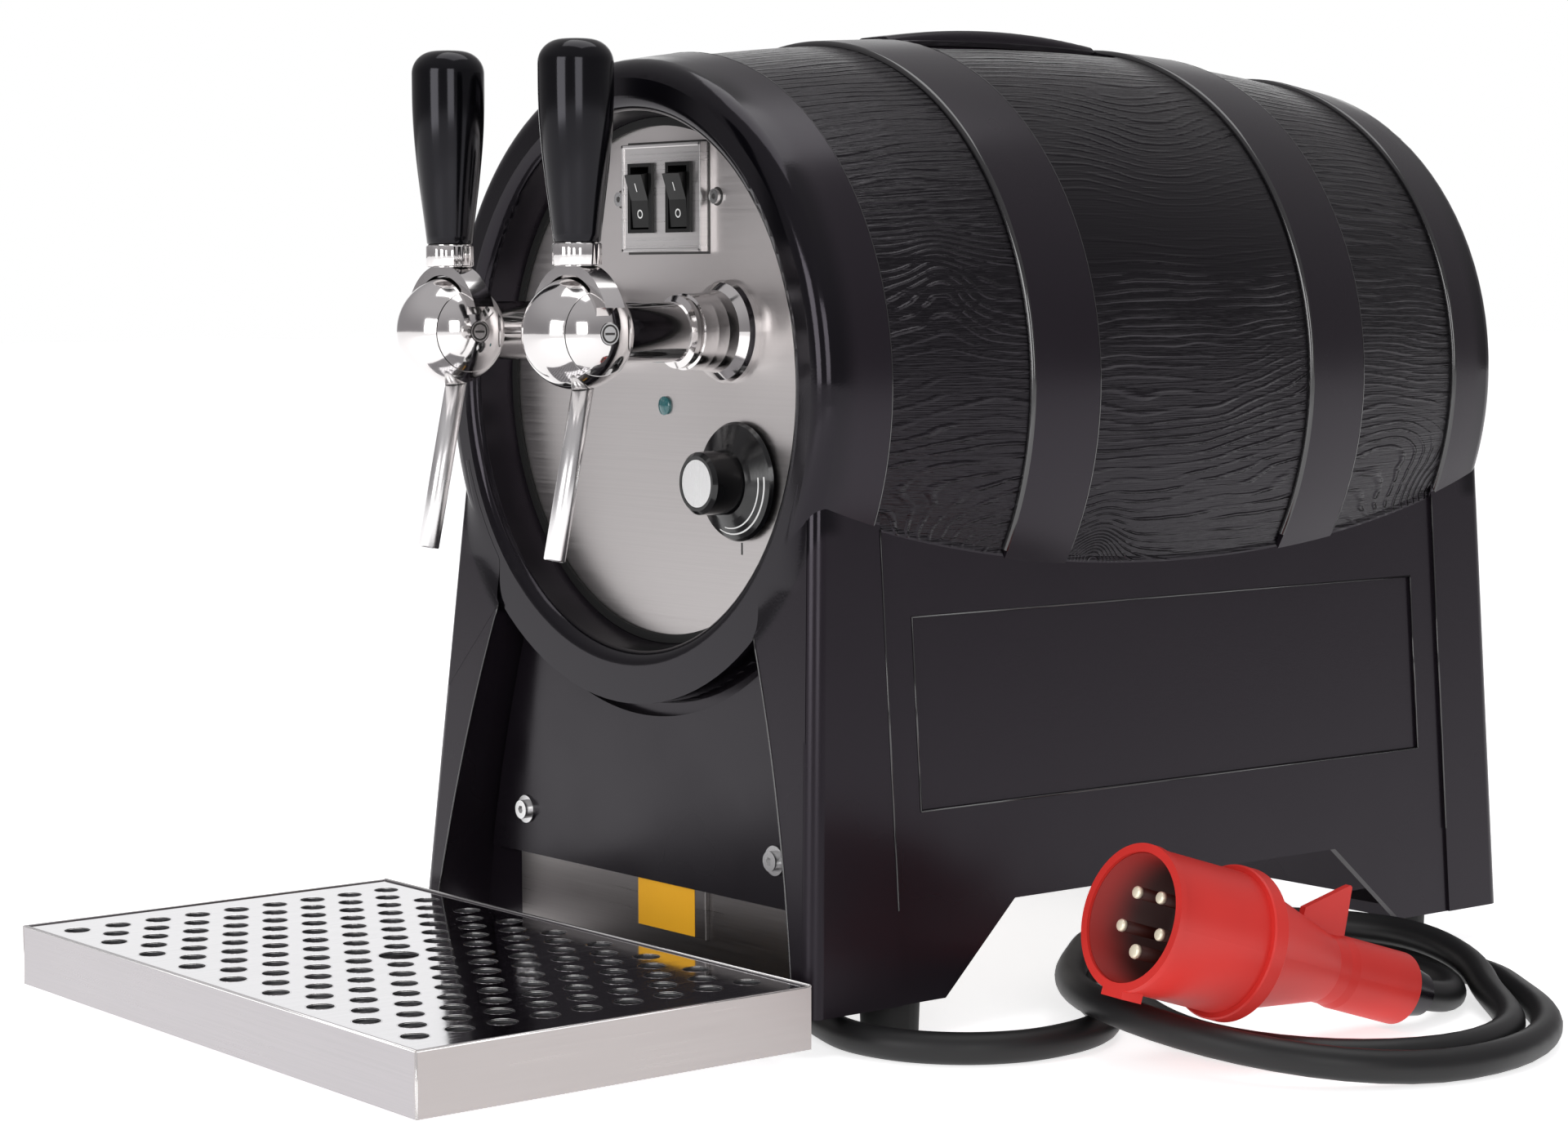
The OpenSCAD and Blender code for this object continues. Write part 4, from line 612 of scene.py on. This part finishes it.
def makeSpouts():
    inner, outer, end = spout["inner"], spout["outer"], spout["end"]
    bore = end - spout["bore"]
    profile = [(inner, 0), (outer, 0.1), (outer, end - spout["round"]), (outer - spout["round"], end),
               (inner, end), (inner, bore), (spout["core"], bore - 0.1)]
    for body in bothSides:
        bm = bmesh.new()
        lathe(bm, profile, 48, atTap(body, spout["rootY"], spout["rootZ"]) @ spin(180 - spout["lean"], "X"))
        piece = finishMesh(bm, "spout" + body.title(), "machine", extra["spoutSteel"])
        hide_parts("tap_spout_" + body)


makeSpouts()
print("spouts made")


# printed marks on rockers and knob, and the tick on the plate
marks = {"rockers": {"rocker_l": "switch_left", "rocker_r": "switch_right"}, "tilt": 11,
         "faceY": -5.65, "faceZ": 5.5, "faceLean": 7.8, "lift": 0.1, "ring": (1.25, 1.85), "bar": (0.3, 1.8),
         "arcs": ((20.6, 21.2, -112), (18.3, 18.8, -100)), "arcStart": 8, "skirtR": 23, "skirtZ": 4.1,
         "skirtSlope": 3.5 / 7.5, "tick": ((-0.5, -29.5), (0.5, -24.6), 0.06)}


def skirtHeight(r):
    return marks["skirtZ"] + (marks["skirtR"] - r) * marks["skirtSlope"]


def makeMarks():
    y, z, lean = marks["faceY"], marks["faceZ"], marks["faceLean"]
    w, h = marks["bar"]
    for body, joint in marks["rockers"].items():
        centre = move(jointAt[joint]) @ spin(marks["tilt"], "X")
        bm = bmesh.new()
        low = centre @ move((0, y, -z)) @ spin(90 - lean, "X")
        flatArc(bm, *marks["ring"], 0, 360, 32, low, lambda r: marks["lift"])
        high = centre @ move((0, y, z)) @ spin(90 + lean, "X")
        flatBox(bm, (-w, -h), (w, h), high, marks["lift"])
        piece = finishMesh(bm, "mark" + body[-1].upper(), body, extra["printWhite"], False, toFront)

    face = move(jointAt["thermostat_turn"]) @ spin(90, "X")
    bm = bmesh.new()
    for inner, outer, stop in marks["arcs"]:
        flatArc(bm, inner, outer, marks["arcStart"], stop, 40, face, skirtHeight)
    piece = finishMesh(bm, "knobArcs", "knob", extra["printWhite"], False, toFront)
    bm = bmesh.new()
    low, high, lift = marks["tick"]
    flatBox(bm, low, high, face, lift)
    piece = finishMesh(bm, "plateTick", "machine", extra["printBlack"], False, toFront)


makeMarks()
print("marks made")


# bracket behind the tray, in darker steel as painted shade, with a tab and a bare label on it; tab and label
# as x, z, x, z
bracket = {"sheet": 2, "bevel": 0.3, "tab": (-7.5, 28.5, 39.5, 50), "tabTuck": 0.2, "tabBevel": 0.4,
           "label": (-6.5, 29.3, 32.3, 48.8), "labelY": (-0.25, 0.1), "labelBevel": 0.1}


def makeBracket():
    b = bracket
    (x0, shelfY, shelfZ), (x1, backY, top) = nodeBox("tray_bracket")
    faceY = backY - b["sheet"]
    tabY = faceY - b["sheet"]
    bm = bmesh.new()
    box(bm, (x0, faceY, shelfZ), (x1, backY, top), b["bevel"])
    box(bm, (x0, shelfY, shelfZ), (x1, backY, shelfZ + b["sheet"]), b["bevel"])
    x0, z0, x1, z1 = b["tab"]
    box(bm, (x0, tabY, z0), (x1, faceY + b["tabTuck"], z1), b["tabBevel"])
    piece = finishMesh(bm, "bracket", "machine", extra["shadedBracketSteel"], False)
    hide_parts("tray_bracket")
    bm = bmesh.new()
    x0, z0, x1, z1 = b["label"]
    y0, y1 = (tabY + y for y in b["labelY"])
    box(bm, (x0, y0, z0), (x1, y1, z1), b["labelBevel"])
    piece = finishMesh(bm, "label", "machine", extra["labelAmber"], False)


makeBracket()
print("bracket made")


# the legs' front faces run flush into the ring round the plate, and thin rounded edges catch the light
front = {"ringY": (barrel["midY"] - barrel["half"]) / mm, "axisZ": barrel["axisZ"] / mm,
         "toeY": housingLow[1], "footZ": housingLow[2], "lean": 0.0734354, "footHalf": 137.5,
         "sideLean": 0.07519, "ringR": 121, "clearR": 131.5, "top": 17.6, "crotch": 47.4, "corner": 5,
         "rows": 60, "columns": 24, "tuck": 2, "leave": 0.75, "past": 1.5, "ringLift": 0.1, "legLift": 0.06,
         "arcX": -552.382, "arcZ": -83.909, "arcR": 685.555, "legTop": 157.5, "legSteps": 30, "toe": 0.6,
         "step": 1.2, "columnY": (-61.5, 258.5), "columnZ": (52, 200), "fieldY": (-46.5, 243.5),
         "fieldZ": (89, 165), "bead": 0.45}


def sideX(z):
    return front["footHalf"] - (z - front["footZ"]) * front["sideLean"]


def legY(z):
    return front["toeY"] + (z - front["footZ"]) * front["lean"]


def legX(z):
    # inner edge of a leg, an arc
    return front["arcX"] + math.sqrt(front["arcR"] ** 2 - (z - front["arcZ"]) ** 2)


def blend(a, b, v):
    t = min(max((v - a) / (b - a), 0), 1)
    return t * t * (3 - 2 * t)


def frontRow(bm, side, share):
    # one line of the skin, from the ring out to the leg's side
    f = front
    turn = math.radians(f["top"] + (f["crotch"] - f["top"]) * share)
    c, s = math.cos(turn), math.sin(turn)
    edge = (sideX(f["axisZ"]) - f["corner"]) / (c - f["sideLean"] * s)
    start = f["ringR"] - f["tuck"] + (f["clearR"] - f["ringR"] + f["tuck"]) * blend(f["leave"], 1.0, share)
    ring = f["ringY"] - f["ringLift"]
    row = []
    for k in range(f["columns"] + 1):
        r = start + (edge - start) * k / f["columns"]
        z = f["axisZ"] - r * s
        gap = legY(z) - f["legLift"] - ring
        y = ring + gap * blend(f["ringR"], f["clearR"] + f["past"] if gap < 0 else edge, r)
        row.append(bm.verts.new((side * r * c, y, z)))
    return row


def makeFronts():
    f = front
    for side, body in zip((-1, 1), bothSides):
        bm = bmesh.new()
        joinRings(bm, [frontRow(bm, side, i / f["rows"]) for i in range(f["rows"] + 1)], closed=False)
        piece = finishMesh(bm, "front" + body.title(), "machine", look["housing_black"], True, toFront)

        foot = f["footZ"] + f["toe"]
        heights = [foot + (f["legTop"] - foot) * k / f["legSteps"] for k in range(f["legSteps"] + 1)]
        lines = [[(legX(z), legY(z), z) for z in heights]]
        lines += [[(sideX(z) - f["step"], y, z) for z in f["fieldZ"]] for y in f["fieldY"]]
        lines += [[(sideX(z) - f["step"], y, z) for y in f["fieldY"]] for z in f["fieldZ"]]
        lines += [[(sideX(z), y, z) for z in f["columnZ"]] for y in f["columnY"]]
        bm = bmesh.new()
        for line in lines:
            sweep(bm, [Vector((side * x, y, z)) for x, y, z in line], f["bead"], 8)
        piece = finishMesh(bm, "edges" + body.title(), "machine", extra["edgePlastic"])


makeFronts()
print("fronts made")


# rounded edges of the hoops and of the end bands: place along the axis, and the way in which each one falls
hoop = {"edges": ((62, -1), (95, 1), (163, -1)), "step": 2, "width": 1.5, "reach": 118, "lift": 0.06,
        "tuck": 0.1, "steps": 6, "half": 60}


def makeHoops():
    bm = bmesh.new()
    midY, midR, axisZ, sag, half = (barrel[k] / mm for k in ("midY", "midR", "axisZ", "sag", "half"))
    turns = [math.radians(hoop["reach"] * (k / hoop["half"] - 1)) for k in range(2 * hoop["half"] + 1)]
    for s, away in hoop["edges"]:
        top = midR - sag * (s / half) ** 2 + hoop["lift"]
        for e in (-1, 1):
            rows = []
            for i in range(hoop["steps"] + 1):
                fall = math.pi / 2 * i / hoop["steps"]
                y = midY + e * (s + away * (hoop["width"] * math.cos(fall) - hoop["tuck"]))
                r = top - (hoop["step"] + hoop["tuck"]) * (1 - math.sin(fall))
                rows.append([bm.verts.new((r * math.sin(t), y, axisZ + r * math.cos(t))) for t in turns])
            joinRings(bm, rows, closed=False)
    piece = finishMesh(bm, "hoopEdges", "machine", extra["edgePlastic"], True,
                       lambda centre: (centre.x, 0, centre.z - axisZ))


makeHoops()
print("hoops made")


# bright edges of the holes in the grid and of the tray, rounded beads in brighter steel as a painted
# highlight, and dark walls of the holes as painted shade
grid = {"hole": 5.25, "middleHole": 8, "pitch": 18.5, "columns": 8, "rows": 4, "margin": 1.5, "sides": 32,
        "edge": 0.5, "lift": 0.04, "fall": 0.4, "floor": 0.05, "wall": (0.05, 0.14)}
trayEdge = {"inset": 0.4, "bead": 0.5, "rearBead": 0.9, "skew": 0.01}


def makeGridEdges():
    g = grid
    (_, y0, bottom), (_, y1, top) = nodeBox("drip_grid")
    edges, shadedHoleWalls = bmesh.new(), bmesh.new()
    for i in range(-g["columns"], g["columns"] + 1):
        for j in range(-g["rows"], g["rows"] + 1):
            y = (j + (abs(i) % 2) / 2) * g["pitch"]
            if abs(y) + g["hole"] * g["margin"] >= (y1 - y0) / 2:
                continue
            r = g["middleHole"] if (i, j) == (0, 0) else g["hole"]
            place = move((i * g["pitch"] * math.sqrt(3) / 2, (y0 + y1) / 2 + y, 0))
            lines = ((r + g["edge"], top + g["lift"]), (r - g["wall"][0], top - g["fall"]),
                     (r - g["wall"][1], bottom + g["floor"]))
            for bm, pair in ((edges, lines[:2]), (shadedHoleWalls, lines[1:])):
                joinRings(bm, [[bm.verts.new(place @ Vector((q * math.cos(t), q * math.sin(t), z)))
                                for t in turnsOf(g["sides"])] for q, z in pair])
    for bm, name, steel in ((edges, "gridEdgeHighlights", "highlightEdgeSteel"), (shadedHoleWalls, "gridHoleShade", "holeShadeSteel")):
        piece = finishMesh(bm, name, "grid", extra[steel], False, lambda centre: (0, 0, 1))


def makeTrayEdges():
    low, high = nodeBox("drip_tray")
    x0, y0, z0 = (c + trayEdge["inset"] for c in low)
    x1, y1, z1 = (c - trayEdge["inset"] for c in high)
    bm = bmesh.new()
    sweep(bm, [Vector((x0, y0, z1)), Vector((x1, y0, z1))], trayEdge["bead"], 8)
    for x in (x0, x1):
        sweep(bm, [Vector((x, y0, z1)), Vector((x, y1, z1))], trayEdge["bead"], 8)
    for x in (x0, x1):
        sweep(bm, [Vector((x, y0, z0)), Vector((x, y0 + trayEdge["skew"], z1))], trayEdge["bead"], 8)
    sweep(bm, [Vector((x0, y1, z1)), Vector((x1, y1, z1))], trayEdge["rearBead"], 8)
    # the beads are real rounded edges in brighter steel, a painted highlight
    piece = finishMesh(bm, "trayEdgeHighlights", "tray", extra["highlightEdgeSteel"])


makeGridEdges()
makeTrayEdges()
print("grid edges made")


# raised rim of the switch plate, a painted shadow line round it and the marks of its screws, each a dark dot
# with a painted shadow ring round it
rim = {"width": 1.5, "rise": 0.5, "sink": 0.2, "bevel": 0.3, "shadowHalf": 1, "lift": 0.06, "headR": 3,
       "screwShadowRing": (3.0, 3.8), "screwDot": (0.1, 1.1)}


def makeRim():
    (x0, faceY, z0), (x1, plateY, z1) = nodeBox("switch_plate")
    width, y0, y1 = rim["width"], faceY - rim["rise"], faceY + rim["sink"]
    bm = bmesh.new()
    box(bm, (x0, y0, z0), (x0 + width, y1, z1), rim["bevel"])
    box(bm, (x0, y0, z0), (x1, y1, z0 + width), rim["bevel"])
    box(bm, (x1 - width, y0, z0), (x1, y1, z1), rim["bevel"])
    box(bm, (x0, y0, z1 - width), (x1, y1, z1), rim["bevel"])
    piece = finishMesh(bm, "switchRim", "machine", extra["switchSteel"], False)

    # heights on this face count forward from y = 0
    face = spin(90, "X")
    j, shadowH = rim["shadowHalf"], rim["lift"] - plateY
    bm = bmesh.new()
    # painted shadow: a dark line round the plate
    for low, high in (((x0 - j, z0 - j), (x1 + j, z0 + j)), ((x0 - j, z1 - j), (x1 + j, z1 + j)),
                      ((x0 - j, z0 + j), (x0 + j, z1 - j)), ((x1 - j, z0 + j), (x1 + j, z1 - j))):
        flatBox(bm, low, high, face, shadowH)
    low, high = nodeBox("switch_plate_screws")
    for x in (low[0] + rim["headR"], high[0] - rim["headR"]):
        screw = move((x, 0, (z0 + z1) / 2)) @ face
        # painted shadow: a dark ring round each screw head
        flatArc(bm, *rim["screwShadowRing"], 0, 360, 32, screw, lambda r: shadowH)
        flatArc(bm, *rim["screwDot"], 0, 360, 16, screw, lambda r: rim["lift"] - low[1])
    piece = finishMesh(bm, "switchShadowLine", "machine", extra["slotAndShadowDark"], False, toFront)


makeRim()
print("rim made")


# studio: a grey room with a bright patch behind the object, a white floor and three soft boxes
studio = {"behind": (-0.78, 0.62, 0.0), "patch": (0.88, 0.955), "patchColour": (1.0, 1.0, 1.0),
          "roomZ": (0.1, 0.8), "roomLow": (0.3, 0.29, 0.3), "roomHigh": (0.5, 0.49, 0.5),
          "floorSize": 14, "paper": (0.9, 0.9, 0.9), "paperDark": (0.89, 0.89, 0.89),
          "paperLight": (0.91, 0.91, 0.91), "glow": 0.7, "aim": (0, 0, 0.25), "boxes": [
              ("boxFront", (0.34, -1.85, 0.62), (0.8, 0.8), 9.0),
              ("boxCamera", (1.75, -0.98, 0.66), (0.7, 0.8), 7.0),
              ("boxTop", (-0.1, 0.2, 2.2), (1.6, 1.6), 15.0)]}


def makeWorld():
    world = bpy.data.worlds.new("studio")
    scene.world = world
    world.use_nodes = True
    tree = world.node_tree
    here = Sock(tree, tree.nodes.new("ShaderNodeTexCoord").outputs["Generated"])
    room = mixColours(here.axis(2).ramp(*studio["roomZ"]), studio["roomLow"], studio["roomHigh"])
    patch = here.dot(studio["behind"]).ramp(*studio["patch"])
    background = tree.nodes["Background"]
    link(background, "Color", mixColours(patch, room, studio["patchColour"]))
    background.inputs["Strength"].default_value = 1.0


def makeFloor():
    bm = bmesh.new()
    bmesh.ops.create_grid(bm, x_segments=1, y_segments=1, size=studio["floorSize"])
    mesh = bpy.data.meshes.new("floor")
    bm.to_mesh(mesh)
    bm.free()
    floor = addObject("floor", mesh)
    paper, shader, here = newMaterial("floorPaper", {"Base Color": studio["paper"], "Roughness": 0.9})
    shader.inputs["Emission Color"].default_value = (1, 1, 1, 1)
    shader.inputs["Emission Strength"].default_value = studio["glow"]
    link(shader, "Base Color", mixColours(here.noise(2.0), studio["paperDark"], studio["paperLight"]))
    mesh.materials.append(paper)


def makeLights():
    for name, place, size, power in studio["boxes"]:
        data = bpy.data.lights.new(name, "AREA")
        data.shape = "RECTANGLE"
        data.size, data.size_y = size
        data.energy = power
        made = addObject(name, data)
        made.location = place
        made.rotation_euler = (Vector(studio["aim"]) - Vector(place)).to_track_quat("-Z", "Y").to_euler()


makeWorld()
makeFloor()
makeLights()
scene.view_settings.view_transform = "Standard"
print("studio made")
